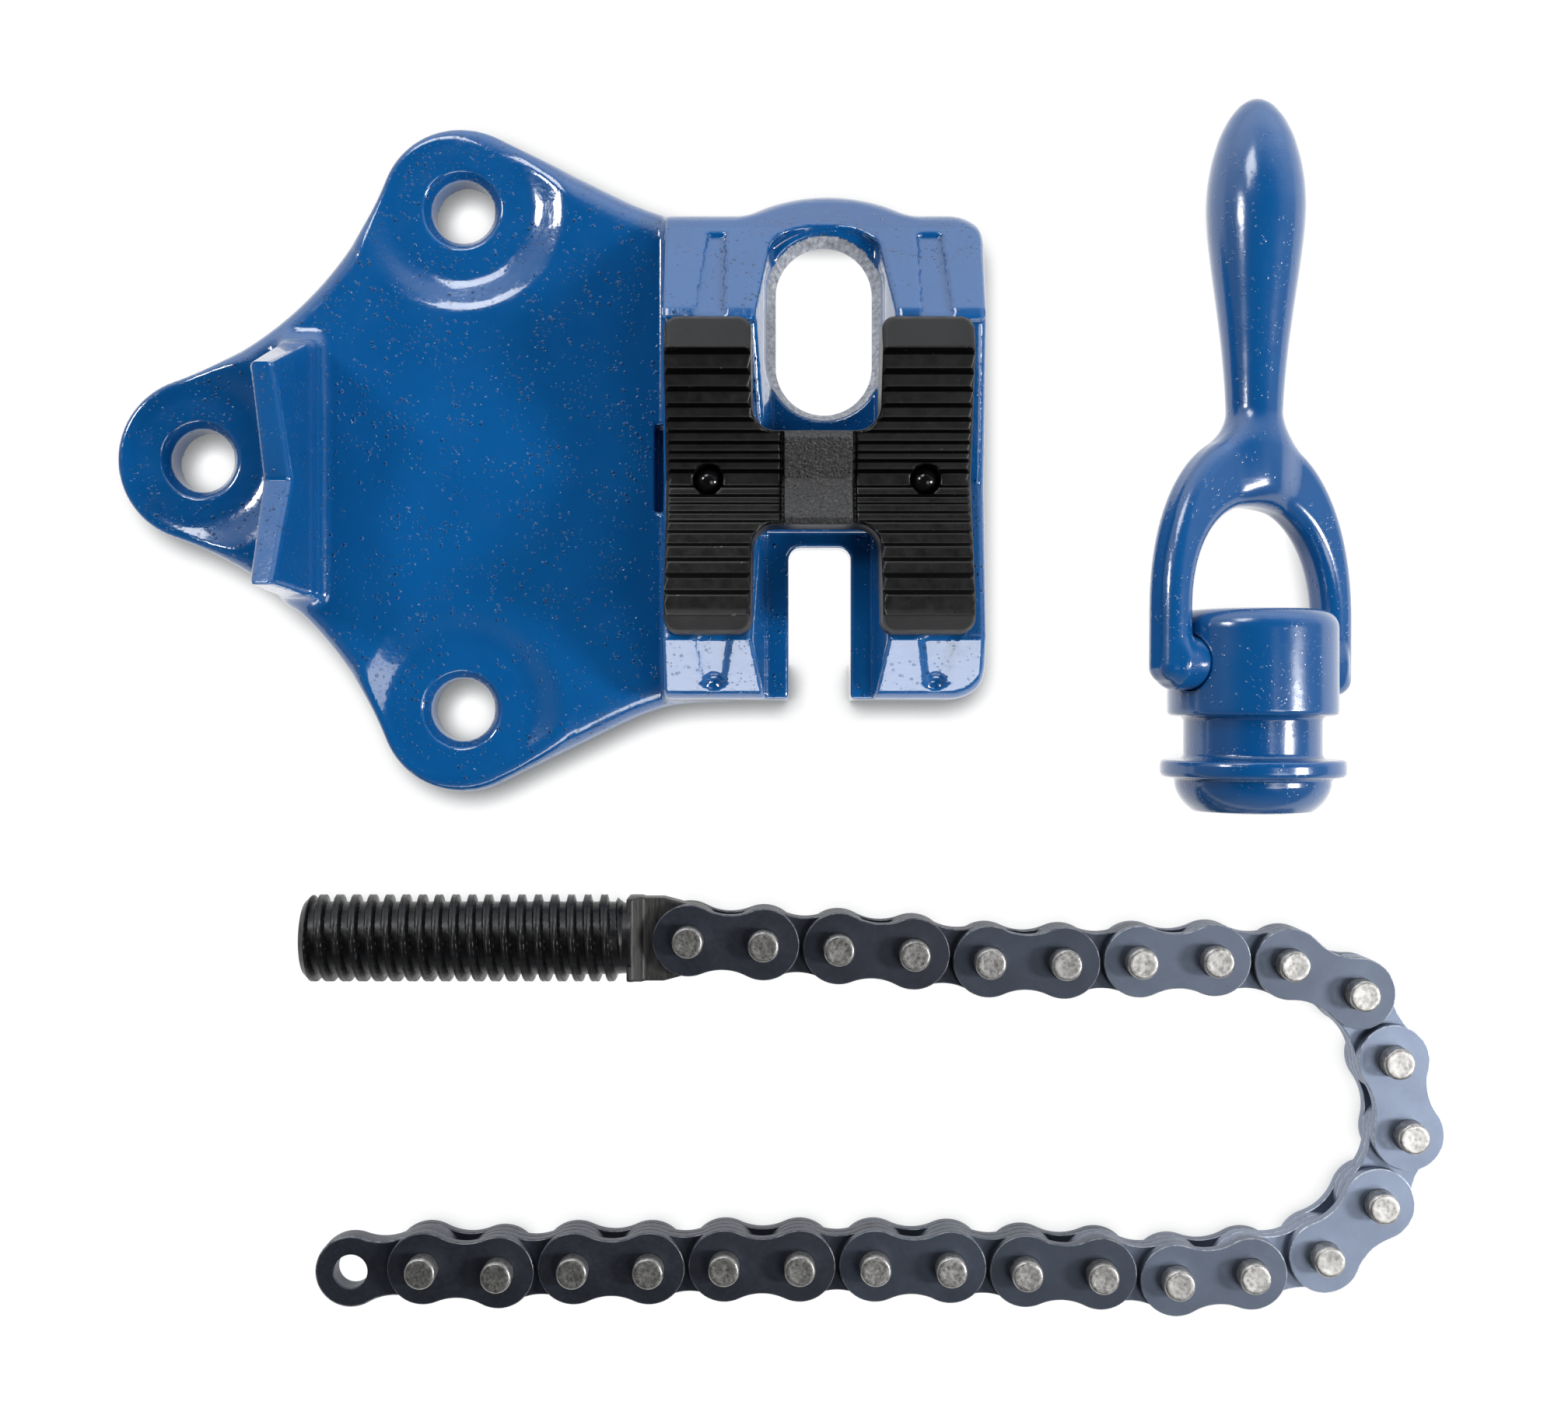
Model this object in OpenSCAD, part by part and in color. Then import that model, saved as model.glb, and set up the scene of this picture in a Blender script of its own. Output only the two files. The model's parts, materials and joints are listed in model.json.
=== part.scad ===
// Chain pipe vise, laid out in its separate pieces on a flat surface:
// cast base with a hard V jaw, swivel nut with its forked handle, and a
// screw whose flat tongue carries a leaf chain.
// Millimetres, +Z up. The origin is the centre of the left bolt hole at the
// level of the underside.

/* [Base casting] */
// Radius of the three bolt lugs
lug_r = 21.5; // [18:0.5:22]
// Distance from the left bolt hole to the line of the other two
lug_dx = 67; // [64:0.5:70]
// Half the distance between the two side bolt holes
lug_dy = 64; // [62:0.5:66]
// Thickness of the lugs
lug_t = 12; // [9:0.5:13]
// Height of the raised web between lugs and jaw block
web_t = 15; // [13:0.5:17]
// Radius of the bolt holes
bolt_r = 7.8; // [7:0.1:8.5]
// Left side of the jaw block
block_x0 = 119; // [116:0.5:120]
// Right side of the jaw block
block_x1 = 201; // [197:0.5:202]
// Half the width of the jaw block across the pipe
block_hw = 62; // [58:0.5:62]

/* [V jaw] */
// Height of the bottom of the V above the surface
v_z = 36; // [34:0.5:38]
// Across-the-pipe position of the V, from the left bolt hole
v_y = -8; // [-9:0.5:-7]
// Half the length of the jaw across the pipe
jaw_hl = 38.2; // [36:0.1:39]
// Rise of the jaw flanks per millimetre
v_rise = 0.5; // [0.45:0.01:0.55]
// Width of each jaw leg along the pipe
leg_w = 21.4; // [20:0.1:22]

/* [Nut and handle] */
// Distance of the nut axis from the left bolt hole
nut_x = 266.7; // [262:0.1:270]
// Radius of the nut's cap
cap_r = 21; // [20:0.1:21.2]
// Radius of the nut's flange
flange_r = 22.8; // [22.4:0.1:24]
// Roll of the nut about its own axis as it lies
nut_roll = 30; // [20:1:35]
// Length of the handle from its pivot to its tip
handle_l = 144.2; // [130:0.1:150]
// Thickness of the fork
fork_t = 10.8; // [8:0.1:12]

/* [Chain] */
// Pitch of the chain
pitch = 19.05; // [18.6:0.01:19.6]
// Radius of the rounded plate ends
plate_r = 9.05; // [8.8:0.01:9.1]
// Thickness of each plate
plate_t = 3.25; // [3:0.01:3.3]
// Radius of the link pins
pin_r = 3.95; // [3.6:0.01:4]
// Length of the link pins
pin_l = 23.4; // [23.2:0.1:24]
// Radius of the open hole in the end link
end_hole_r = 4.25; // [4:0.05:4.6]

/* [Screw] */
// Outside radius of the screw thread
screw_r = 11.1; // [10.9:0.05:11.3]
// Pitch of the screw thread
thread_p = 4.233; // [4:0.001:4.4]
// Number of thread crests
thread_n = 19; // [14:1:19]

/* [Hidden] */
$fn = 64;
e = 0.01;

blue = [0.05, 0.26, 0.55];
black = [0.09, 0.09, 0.1];
plate_c = [0.2, 0.22, 0.27];
steel = [0.72, 0.72, 0.74];

// Base casting
lugs = [[0, 0], [lug_dx, lug_dy], [lug_dx, -lug_dy]];
// Screw hole and chain slot in the jaw block
hole_x = 159.6;
hole_y = 32;
hole_r = 12.1;
hole_h = 9;
slot_x = 158.4;
slot_r = 7.7;
slot_y = -23.5;
// Jaw
jaw_x0 = 120.6;
jaw_x1 = 195.2;
bar_hw = 11.6;
seat_z = 26;
seat_rise = 0.3;
screw_x = [131, 184];

// Nut: distances along its axis from the outer end of the cap
cap_l = 26.3;
neck_l = 37.2;
flange_l = 41.6;
nut_l = 50.6;
nut_y = -39.3;
pivot = [nut_x, nut_y - 13.2, flange_r];
bore_r = 9.2;
pintle_r = 6.8;
swing = -2.6;
skew = 3;

// Chain: heading of each link in degrees, from the screw to the open end
heads = [-3, -3, -4, -6, -1, 1, 1, -3, -23, -63, -79, -113, -136, -167, -175,
    -185, -182, -183, -181, -180, -180, -178, -180, -177, -183, -175];
start = [125.3, -122.4];
function at(i) = i == 0 ? start : at(i - 1) + pitch * [cos(heads[i - 1]), sin(heads[i - 1])];
// Layers: pins stand on the surface, the plates sit around the middle
mid_z = pin_l / 2;
out_z = 2 * plate_t + 0.1;
in_z = plate_t + 0.05;

// ---------- base casting ----------
// A straight side from a lug to the corner of the jaw block
module side_wedge(r, k) {
    ax = atan2(block_hw - lug_dy, block_x0 + 2 - lug_dx);
    d = norm([block_x0 + 2 - lug_dx, block_hw - lug_dy]);
    a = ax + acos(r / d);
    polygon([[lug_dx, 0], [lug_dx, k * lug_dy], [lug_dx + (r - 0.05) * cos(a), k * (lug_dy + (r - 0.05) * sin(a))],
        [block_x0 + 2, k * (block_hw - lug_r + r)], [block_x0 + 2, 0]]);
}

// The concave side between the left lug and a side lug
module side_curve(r, k) {
    rho = 69.7 + 40 - r;
    h = norm([lug_dx, lug_dy]) / 2;
    c = sqrt((rho + r) * (rho + r) - h * h);
    u = [-lug_dy, lug_dx] / (2 * h);
    m = [lug_dx, lug_dy] / 2 + c * u;
    difference() {
        polygon([[0, 0], [m[0], k * m[1]], [lug_dx, k * lug_dy]]);
        translate([m[0], k * m[1]]) circle(rho + 0.15, $fn = 120);
    }
    polygon([[0, 0], [lug_dx, k * lug_dy], [lug_dx, 0]]);
}

module plate_outline(r) {
    for (p = lugs) translate(p) circle(r);
    for (k = [-1, 1]) {
        side_curve(r, k);
        side_wedge(r, k);
    }
}

module block_outline() {
    translate([block_x0, -block_hw]) square([block_x1 - block_x0 - 10, 2 * block_hw]);
    translate([block_x0, -block_hw + 10]) square([block_x1 - block_x0, 2 * block_hw - 20]);
    for (k = [-1, 1]) translate([block_x1 - 10, k * (block_hw - 10)]) circle(10.03);
    // arched boss beyond the screw hole
    intersection() {
        translate([hole_x + 1.2, 22.4]) circle(45, $fn = 120);
        translate([block_x0 + 5, 40]) square([block_x1 - block_x0 - 10, 40]);
    }
}

module block_profile() {
    j = jaw_hl + 0.2;
    polygon([[-70, 0], [70, 0], [70, 9.6], [57, 21], [33.5, 38], [v_y + j, 38.8],
        [v_y + j, seat_z + seat_rise * j], [v_y, seat_z], [v_y - j, seat_z + seat_rise * j],
        [v_y - j, 38.4], [-47.6, 37.4], [-58.6, 28.2], [-61, 26], [-70, 13]]);
}

module obround(r, h) {
    for (k = [-1, 1]) translate([0, k * h]) circle(r);
    translate([-r + 0.02, -h]) square([2 * r - 0.04, 2 * h]);
}

module base_casting() color(blue) {
    difference() {
        union() {
            // lugs and web
            linear_extrude(lug_t) plate_outline(lug_r);
            difference() {
                linear_extrude(web_t) plate_outline(lug_r - 3);
                for (p = lugs) translate([p[0], p[1], lug_t]) cylinder(r = lug_r - 0.5, h = 20);
            }
            // pipe rest
            translate([22.3, 0, 0]) rotate([90, 0, 90]) linear_extrude(7)
                polygon([[-36, 1], [30, 1], [30, 15], [18.4, 49.2], [v_y, v_z], [-34.4, 49.2], [-36, 15]]);
            rotate([90, 0, 0]) translate([0, 0, -29]) linear_extrude(64)
                polygon([[26, 1], [34, 1], [34, 15.5], [29, 26], [26, 26]]);
            // jaw block
            intersection() {
                linear_extrude(60) block_outline();
                translate([block_x0 - 1, 0, 0]) rotate([90, 0, 90]) linear_extrude(90) block_profile();
            }
        }
        // bolt holes with a countersunk mouth
        for (p = lugs) translate([p[0], p[1], 0]) {
            translate([0, 0, -1]) cylinder(r = bolt_r, h = 30);
            translate([0, 0, lug_t - 2.2]) cylinder(r1 = bolt_r, r2 = 10.2, h = 2.41);
        }
        // hollow under the jaw block, deeper beside the screw hole
        translate([block_x0 + 8, -52, -1]) cube([block_x1 - block_x0 - 16, 104, 14]);
        translate([hole_x - 17, 40, -1]) cube([34, 18.5, 14]);
        // open channel over the screw hole, ending in an arch
        intersection() {
            translate([hole_x, 70, 0]) rotate([90, 0, 0]) linear_extrude(66.2)
                polygon([[-13.7, 20], [13.7, 20], [13.7, 24], [22.3, 60], [-22.3, 60], [-13.7, 24]]);
            translate([hole_x, 0, 19]) linear_extrude(42) {
                translate([0, 37.4]) circle(20.3, $fn = 96);
                translate([-20.25, 3.7]) square([40.5, 33.7]);
            }
        }
        // open channel over the chain slot
        translate([158.3, -19.8, 0]) rotate([90, 0, 0]) linear_extrude(60.2)
            polygon([[-13.4, 23], [13.4, 23], [13.4, 24], [22, 60], [-22, 60], [-13.4, 24]]);
        // screw hole with a flared mouth for the nut's dome
        translate([hole_x, hole_y, -1]) linear_extrude(60) obround(hole_r, hole_h);
        for (k = [-1, 1]) translate([hole_x, hole_y + k * hole_h, 14]) cylinder(r1 = hole_r - 0.25, r2 = hole_r + 2.6, h = 6.7);
        translate([hole_x, hole_y + hole_h, 0]) rotate([90, 0, 0]) linear_extrude(2 * hole_h)
            polygon([[-hole_r + 0.28, 14], [hole_r - 0.28, 14], [hole_r + 2.57, 20.7], [-hole_r - 2.57, 20.7]]);
        // chain slot
        translate([slot_x - slot_r, -80, -1]) cube([2 * slot_r, 80 + slot_y - 3, 60]);
        translate([slot_x - slot_r + 3, -80, -1]) cube([2 * slot_r - 6, 80 + slot_y, 60]);
        for (k = [-1, 1]) translate([slot_x + k * (slot_r - 3), slot_y - 3, -1]) cylinder(r = 3.03, h = 60);
        // grooves on the shoulders
        for (x = [132.2, 187]) {
            translate([x, 0, 0]) rotate([90, 0, 90]) linear_extrude(8, center = true)
                polygon([[31.5, 60], [31.5, 37.4], [34, 36.3], [54, 21.9], [56, 23.6], [56, 60]]);
            translate([x, 0, 0]) rotate([90, 0, 90]) linear_extrude(8, center = true)
                polygon([[-47.2, 60], [-47.2, 36.6], [-49.5, 34.5], [-56.8, 28.4], [-58.2, 29.6], [-58.2, 60]]);
        }
        // window in the left wall, under the jaw's bridge
        translate([block_x0 - 2.4, -14, 9]) cube([5.9, 22.4, 15]);
        // jaw screw holes
        for (x = screw_x) translate([x, v_y, 12]) cylinder(r = 2.55, h = 30);
    }
}

// ---------- jaw ----------
// Tooth edges on a flank, from the outer end of the jaw inwards
teeth = [29.4, 24.9, 20.9, 17.3, 14.1, 11.3, 8.8, 6.6, 4.7, 2.4];
// Steps down the flank: a steep riser inside each edge, then an almost level tread
function flank(s) = [for (i = [0 : len(teeth) - 1]) each
    let (a = teeth[i], p = i < len(teeth) - 1 ? a - teeth[i + 1] : a)
    [[s * a, v_z + v_rise * a], [s * (a - 0.28 * p), v_z + v_rise * a - 0.42 * p]]];

module jaw_profile() {
    right = flank(1);
    left = flank(-1);
    polygon(concat([[jaw_hl, seat_z + seat_rise * jaw_hl], [jaw_hl, 46.2], [jaw_hl - 0.7, 47], [31, v_z + v_rise * 31]],
        right,
        [[1.2, v_z], [-1.2, v_z]],
        [for (i = [len(left) - 1 : -1 : 0]) left[i]],
        [[-31, v_z + v_rise * 31], [-jaw_hl + 0.7, 47], [-jaw_hl, 46.2], [-jaw_hl, seat_z + seat_rise * jaw_hl], [0, seat_z]]));
}

module jaw() color(black) {
    difference() {
        union() {
            intersection() {
                translate([jaw_x0, v_y, 0]) rotate([90, 0, 90]) linear_extrude(jaw_x1 - jaw_x0) jaw_profile();
                union() {
                    translate([jaw_x0, v_y - 50, 0]) cube([leg_w, 100, 80]);
                    translate([jaw_x1 - leg_w - 1.3, v_y - 50, 0]) cube([leg_w + 1.3, 100, 80]);
                    translate([jaw_x0, v_y - bar_hw, 0]) cube([jaw_x1 - jaw_x0, 2 * bar_hw, 80]);
                }
            }
            // plain raised pad on the bridge
            translate([149.6, v_y, 0]) rotate([90, 0, 90]) linear_extrude(16.6)
                polygon([[-bar_hw, 31], [bar_hw, 31], [bar_hw, v_z + v_rise * bar_hw + 0.4],
                    [0.5, v_z + 1], [-0.5, v_z + 1], [-bar_hw, v_z + v_rise * bar_hw + 0.4]]);
        }
        for (x = screw_x) translate([x, v_y, 0]) {
            cylinder(r = 2.6, h = 60);
            translate([0, 0, 32]) cylinder(r = 3.8, h = 20);
        }
    }
}

module jaw_screws() color(black) {
    for (x = screw_x) translate([x, v_y, 0]) {
        translate([0, 0, 16.5]) cylinder(r = 2.5, h = 15.9);
        intersection() {
            translate([0, 0, 32]) cylinder(r = 3.6, h = 6);
            translate([0, 0, 31.6]) sphere(r = 4.4);
        }
    }
}

// ---------- nut ----------
module nut_profile() {
    difference() {
        polygon([[bore_r, 0], [16.5, 0], [18.6, 0.5], [20.3, 1.8], [cap_r, 4], [cap_r, cap_l - 1], [cap_r - 1, cap_l],
            [17, cap_l + 0.4], [17, neck_l - 0.5], [18, neck_l], [flange_r - 0.6, neck_l], [flange_r, neck_l + 0.7],
            [flange_r, flange_l - 0.9], [flange_r - 0.9, flange_l], [19.4, flange_l],
            [18.4, flange_l + 2.2], [17, flange_l + 4.2], [15.2, flange_l + 6.3], [13.3, flange_l + 8], [11.8, nut_l], [bore_r, nut_l]]);
    }
}

module swivel_nut() color(blue) {
    difference() {
        translate([nut_x, nut_y, flange_r]) rotate([90, 0, 0]) rotate_extrude($fn = 96) nut_profile();
        // cross holes for the handle's pintles
        translate(pivot) rotate([0, nut_roll, 0]) for (k = [0, 180]) rotate([0, k, 0])
            translate([13, 0, 0]) rotate([0, 90, 0]) cylinder(r = pintle_r + 0.07, h = 20);
    }
}

// ---------- handle ----------
// Fork outline: a pointed arch on two straight legs
function arch(a, b, p, n) = [for (i = [0 : n]) let (t = i / n)
    [-a * pow(abs(cos(180 * t)), p) * sign(cos(180 * t)), b * pow(sin(180 * t), p)]];
leg_y = 12;

module fork_outline() {
    difference() {
        union() {
            translate([0, leg_y]) polygon(arch(31.2, 46, 0.93, 44));
            for (k = [-1, 1]) {
                translate([k * 26.6 - 4.45, -2]) square([8.9, leg_y + 4]);
                translate([k * 26.6, -2]) circle(4.5);
            }
        }
        translate([0, leg_y]) polygon(arch(22.2, 27.5, 0.93, 44));
        translate([-22.2, -20]) square([44.4, leg_y + 20 + e]);
    }
}

module grip_profile() {
    polygon([[0, 50], [6.4, 50], [6.9, 56], [7, 62], [7.4, 70], [8.3, 80], [9.6, 90], [11, 100], [12.1, 109],
        [12.5, 116], [12.2, 122], [11.2, 128], [9.4, 134], [7, 139], [4.4, 142.4], [2, 143.8], [0, handle_l]]);
}

module handle() color(blue) {
    translate(pivot) rotate([0, nut_roll, 0]) rotate([swing, 0, 0]) {
        rotate([0, 0, -skew]) {
            linear_extrude(fork_t, center = true) fork_outline();
            rotate([-90, 0, 0]) rotate_extrude() grip_profile();
        }
        // turned-in ends
        for (k = [0, 180]) rotate([0, k, 0])
            translate([13.6, 0, 0]) rotate([0, 90, 0]) cylinder(r = pintle_r, h = 12.4);
    }
}

// ---------- screw ----------
function thread_pts() = [for (i = [0 : thread_n - 1]) each let (x = 4 + i * thread_p)
    [[9.3, x - 0.5], [screw_r, x + 0.35], [screw_r, x + 1.5], [9.3, x + 2.35]]];

module screw() color(black) {
    x0 = 27.4;
    translate([x0, start[1], mid_z]) rotate([0, 90, 0]) rotate_extrude()
        polygon(concat([[0, 0], [9.6, 0], [11, 1.6], [11, 2.4], [9.3, 3.2]], thread_pts(),
            [[9, x0 + thread_n * thread_p + 4 - x0 - 0.6], [9, 84.6], [0, 84.6]]));
    difference() {
        union() {
            translate([0, 0, mid_z - plate_t]) linear_extrude(2 * plate_t) difference() {
                union() {
                    translate([110.6, start[1] - 10.6]) square([8.4, 21.2]);
                    polygon([[118.9, start[1] + 10.6], [124.6, start[1] + 9.05], [124.6, start[1] - 9.05], [118.9, start[1] - 10.6]]);
                    translate(start) circle(plate_r);
                }
                translate(start) circle(pin_r + 0.05);
            }
            // root of the tongue, still nearly as thick as the thread core
            translate([109.6, start[1] - 10.6, mid_z - 6]) cube([3.6, 21.2, 12]);
        }
    }
}

// ---------- chain ----------
module link_outline(hole, hole_2) {
    c = 20.55;
    q = c - 6.95;
    difference() {
        union() {
            for (k = [0, pitch]) translate([k, 0]) circle(plate_r);
            difference() {
                translate([0, -8]) square([pitch, 16]);
                for (k = [-1, 1]) translate([pitch / 2, k * c]) circle(q, $fn = 96);
            }
        }
        circle(hole);
        translate([pitch, 0]) circle(hole_2);
    }
}

// Places a link's pieces: i is the number of its first pin
module at_link(i) {
    p = at(i);
    translate([p[0], p[1], 0]) rotate([0, 0, heads[i]]) children();
}

module outer_link(n) color(plate_c) at_link(2 * n - 2) {
    translate([0, 0, mid_z - out_z]) linear_extrude(plate_t) link_outline(pin_r + 0.02, pin_r + 0.02);
    translate([0, 0, mid_z + out_z - plate_t]) linear_extrude(plate_t) link_outline(pin_r + 0.02, pin_r + 0.02);
}

module link_pins(n) color(steel) at_link(2 * n - 2) {
    for (k = [0, pitch]) translate([k, 0, 0]) {
        cylinder(r1 = pin_r - 0.7, r2 = pin_r, h = 0.7);
        translate([0, 0, 0.7]) cylinder(r = pin_r, h = pin_l - 1.4);
        translate([0, 0, pin_l - 0.7]) cylinder(r1 = pin_r, r2 = pin_r - 0.7, h = 0.7);
    }
}

module inner_link(n) color(plate_c) at_link(2 * n - 1) {
    translate([0, 0, mid_z - in_z]) linear_extrude(plate_t) link_outline(pin_r + 0.05, pin_r + 0.05);
    translate([0, 0, mid_z + in_z - plate_t]) linear_extrude(plate_t) link_outline(pin_r + 0.05, pin_r + 0.05);
}

module end_link() color(plate_c) at_link(25) {
    translate([0, 0, mid_z - plate_t]) linear_extrude(2 * plate_t) link_outline(pin_r + 0.05, end_hole_r);
}

base_casting();
jaw();
jaw_screws();
swivel_nut();
handle();
screw();
outer_link(1);  // outer_link_01
link_pins(1);  // link_pins_01
inner_link(1);  // inner_link_01
outer_link(2);  // outer_link_02
link_pins(2);  // link_pins_02
inner_link(2);  // inner_link_02
outer_link(3);  // outer_link_03
link_pins(3);  // link_pins_03
inner_link(3);  // inner_link_03
outer_link(4);  // outer_link_04
link_pins(4);  // link_pins_04
inner_link(4);  // inner_link_04
outer_link(5);  // outer_link_05
link_pins(5);  // link_pins_05
inner_link(5);  // inner_link_05
outer_link(6);  // outer_link_06
link_pins(6);  // link_pins_06
inner_link(6);  // inner_link_06
outer_link(7);  // outer_link_07
link_pins(7);  // link_pins_07
inner_link(7);  // inner_link_07
outer_link(8);  // outer_link_08
link_pins(8);  // link_pins_08
inner_link(8);  // inner_link_08
outer_link(9);  // outer_link_09
link_pins(9);  // link_pins_09
inner_link(9);  // inner_link_09
outer_link(10);  // outer_link_10
link_pins(10);  // link_pins_10
inner_link(10);  // inner_link_10
outer_link(11);  // outer_link_11
link_pins(11);  // link_pins_11
inner_link(11);  // inner_link_11
outer_link(12);  // outer_link_12
link_pins(12);  // link_pins_12
inner_link(12);  // inner_link_12
outer_link(13);  // outer_link_13
link_pins(13);  // link_pins_13
end_link();
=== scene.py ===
import bpy, bmesh, math, json
import numpy as np
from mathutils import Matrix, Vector, geometry

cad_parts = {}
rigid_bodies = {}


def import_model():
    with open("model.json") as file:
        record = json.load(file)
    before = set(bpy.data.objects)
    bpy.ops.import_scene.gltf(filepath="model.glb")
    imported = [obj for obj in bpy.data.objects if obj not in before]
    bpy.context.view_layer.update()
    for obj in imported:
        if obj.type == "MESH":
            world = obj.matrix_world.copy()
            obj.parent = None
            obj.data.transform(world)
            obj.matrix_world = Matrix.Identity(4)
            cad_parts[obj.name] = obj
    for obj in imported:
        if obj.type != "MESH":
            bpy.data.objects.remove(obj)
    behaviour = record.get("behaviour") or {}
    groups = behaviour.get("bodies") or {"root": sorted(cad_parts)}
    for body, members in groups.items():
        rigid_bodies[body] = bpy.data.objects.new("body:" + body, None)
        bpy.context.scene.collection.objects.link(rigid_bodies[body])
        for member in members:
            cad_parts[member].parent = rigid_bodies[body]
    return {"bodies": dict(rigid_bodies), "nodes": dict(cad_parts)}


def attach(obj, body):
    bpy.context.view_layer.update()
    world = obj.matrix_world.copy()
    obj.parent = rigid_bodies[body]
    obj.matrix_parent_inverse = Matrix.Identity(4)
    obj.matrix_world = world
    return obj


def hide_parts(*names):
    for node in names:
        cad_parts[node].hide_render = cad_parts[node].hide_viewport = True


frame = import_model()
BODIES, NODES = frame["bodies"], frame["nodes"]
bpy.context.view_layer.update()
MM = 0.001
R = np.random.RandomState(7)

# ------------------------------------------------------------------ camera
CAM = (149.5, -64.0, 515.0)
cam_data = bpy.data.cameras.new("cam")
cam = bpy.data.objects.new("cam", cam_data)
bpy.context.scene.collection.objects.link(cam)
cam.location = [v * MM for v in CAM]
cam.rotation_euler = (0, 0, 0)
cam_data.sensor_width = 36
cam_data.lens = 36 * 2529 / 2016
cam_data.clip_start, cam_data.clip_end = 0.01, 20
bpy.context.scene.camera = cam


# ------------------------------------------------------------------ fields
def grid(lo, hi, h):
    ax = [np.arange(int(math.ceil((b - a) / h)) + 1, dtype=np.float32) * h + np.float32(a) for a, b in zip(lo, hi)]
    return np.meshgrid(*ax, indexing="ij", sparse=True)


def rmin(a, b, r):
    """Union with a fillet of radius r."""
    u = np.maximum(r - a, 0)
    v = np.maximum(r - b, 0)
    return np.maximum(r, np.minimum(a, b)) - np.sqrt(u * u + v * v)


def rmax(a, b, r):
    """Intersection with an edge round of radius r."""
    return -rmin(-a, -b, r)


def box2(x, y, cx, cy, hx, hy, r=0.0):
    dx = np.abs(x - cx) - (hx - r)
    dy = np.abs(y - cy) - (hy - r)
    return np.sqrt(np.maximum(dx, 0) ** 2 + np.maximum(dy, 0) ** 2) + np.minimum(np.maximum(dx, dy), 0) - r


def poly2(x, y, pts):
    """Signed distance to a closed outline, negative inside."""
    x, y = np.broadcast_arrays(x, y)
    d = np.full(x.shape, 1e9, np.float32)
    inside = np.zeros(x.shape, bool)
    n = len(pts)
    for i in range(n):
        ax, ay = pts[i]
        bx, by = pts[(i + 1) % n]
        ex, ey = bx - ax, by - ay
        ll = ex * ex + ey * ey
        if ll < 1e-12:
            continue
        wx, wy = x - ax, y - ay
        t = np.clip((wx * ex + wy * ey) / ll, 0, 1)
        d = np.minimum(d, (wx - t * ex) ** 2 + (wy - t * ey) ** 2)
        c = (ay > y) != (by > y)
        if c.any() and ey != 0:
            inside ^= c & (x < ex * (y - ay) / ey + ax)
    d = np.sqrt(d)
    return np.where(inside, -d, d).astype(np.float32)


class Table:
    """A 2D distance sampled on a fine grid, for profiles turned about an axis."""

    def __init__(self, pts, lo, hi, h=0.15):
        self.lo, self.h = lo, h
        gx = np.arange(lo[0], hi[0] + h, h, dtype=np.float32)
        gy = np.arange(lo[1], hi[1] + h, h, dtype=np.float32)
        self.t = poly2(gx[:, None], gy[None, :], pts)

    def __call__(self, u, v):
        fu = (u - self.lo[0]) / self.h
        fv = (v - self.lo[1]) / self.h
        fu = np.clip(fu, 0, self.t.shape[0] - 1.001)
        fv = np.clip(fv, 0, self.t.shape[1] - 1.001)
        i, j = fu.astype(np.int32), fv.astype(np.int32)
        a, b = fu - i, fv - j
        t = self.t
        return (t[i, j] * (1 - a) * (1 - b) + t[i + 1, j] * a * (1 - b) + t[i, j + 1] * (1 - a) * b + t[i + 1, j + 1] * a * b).astype(np.float32)


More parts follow.
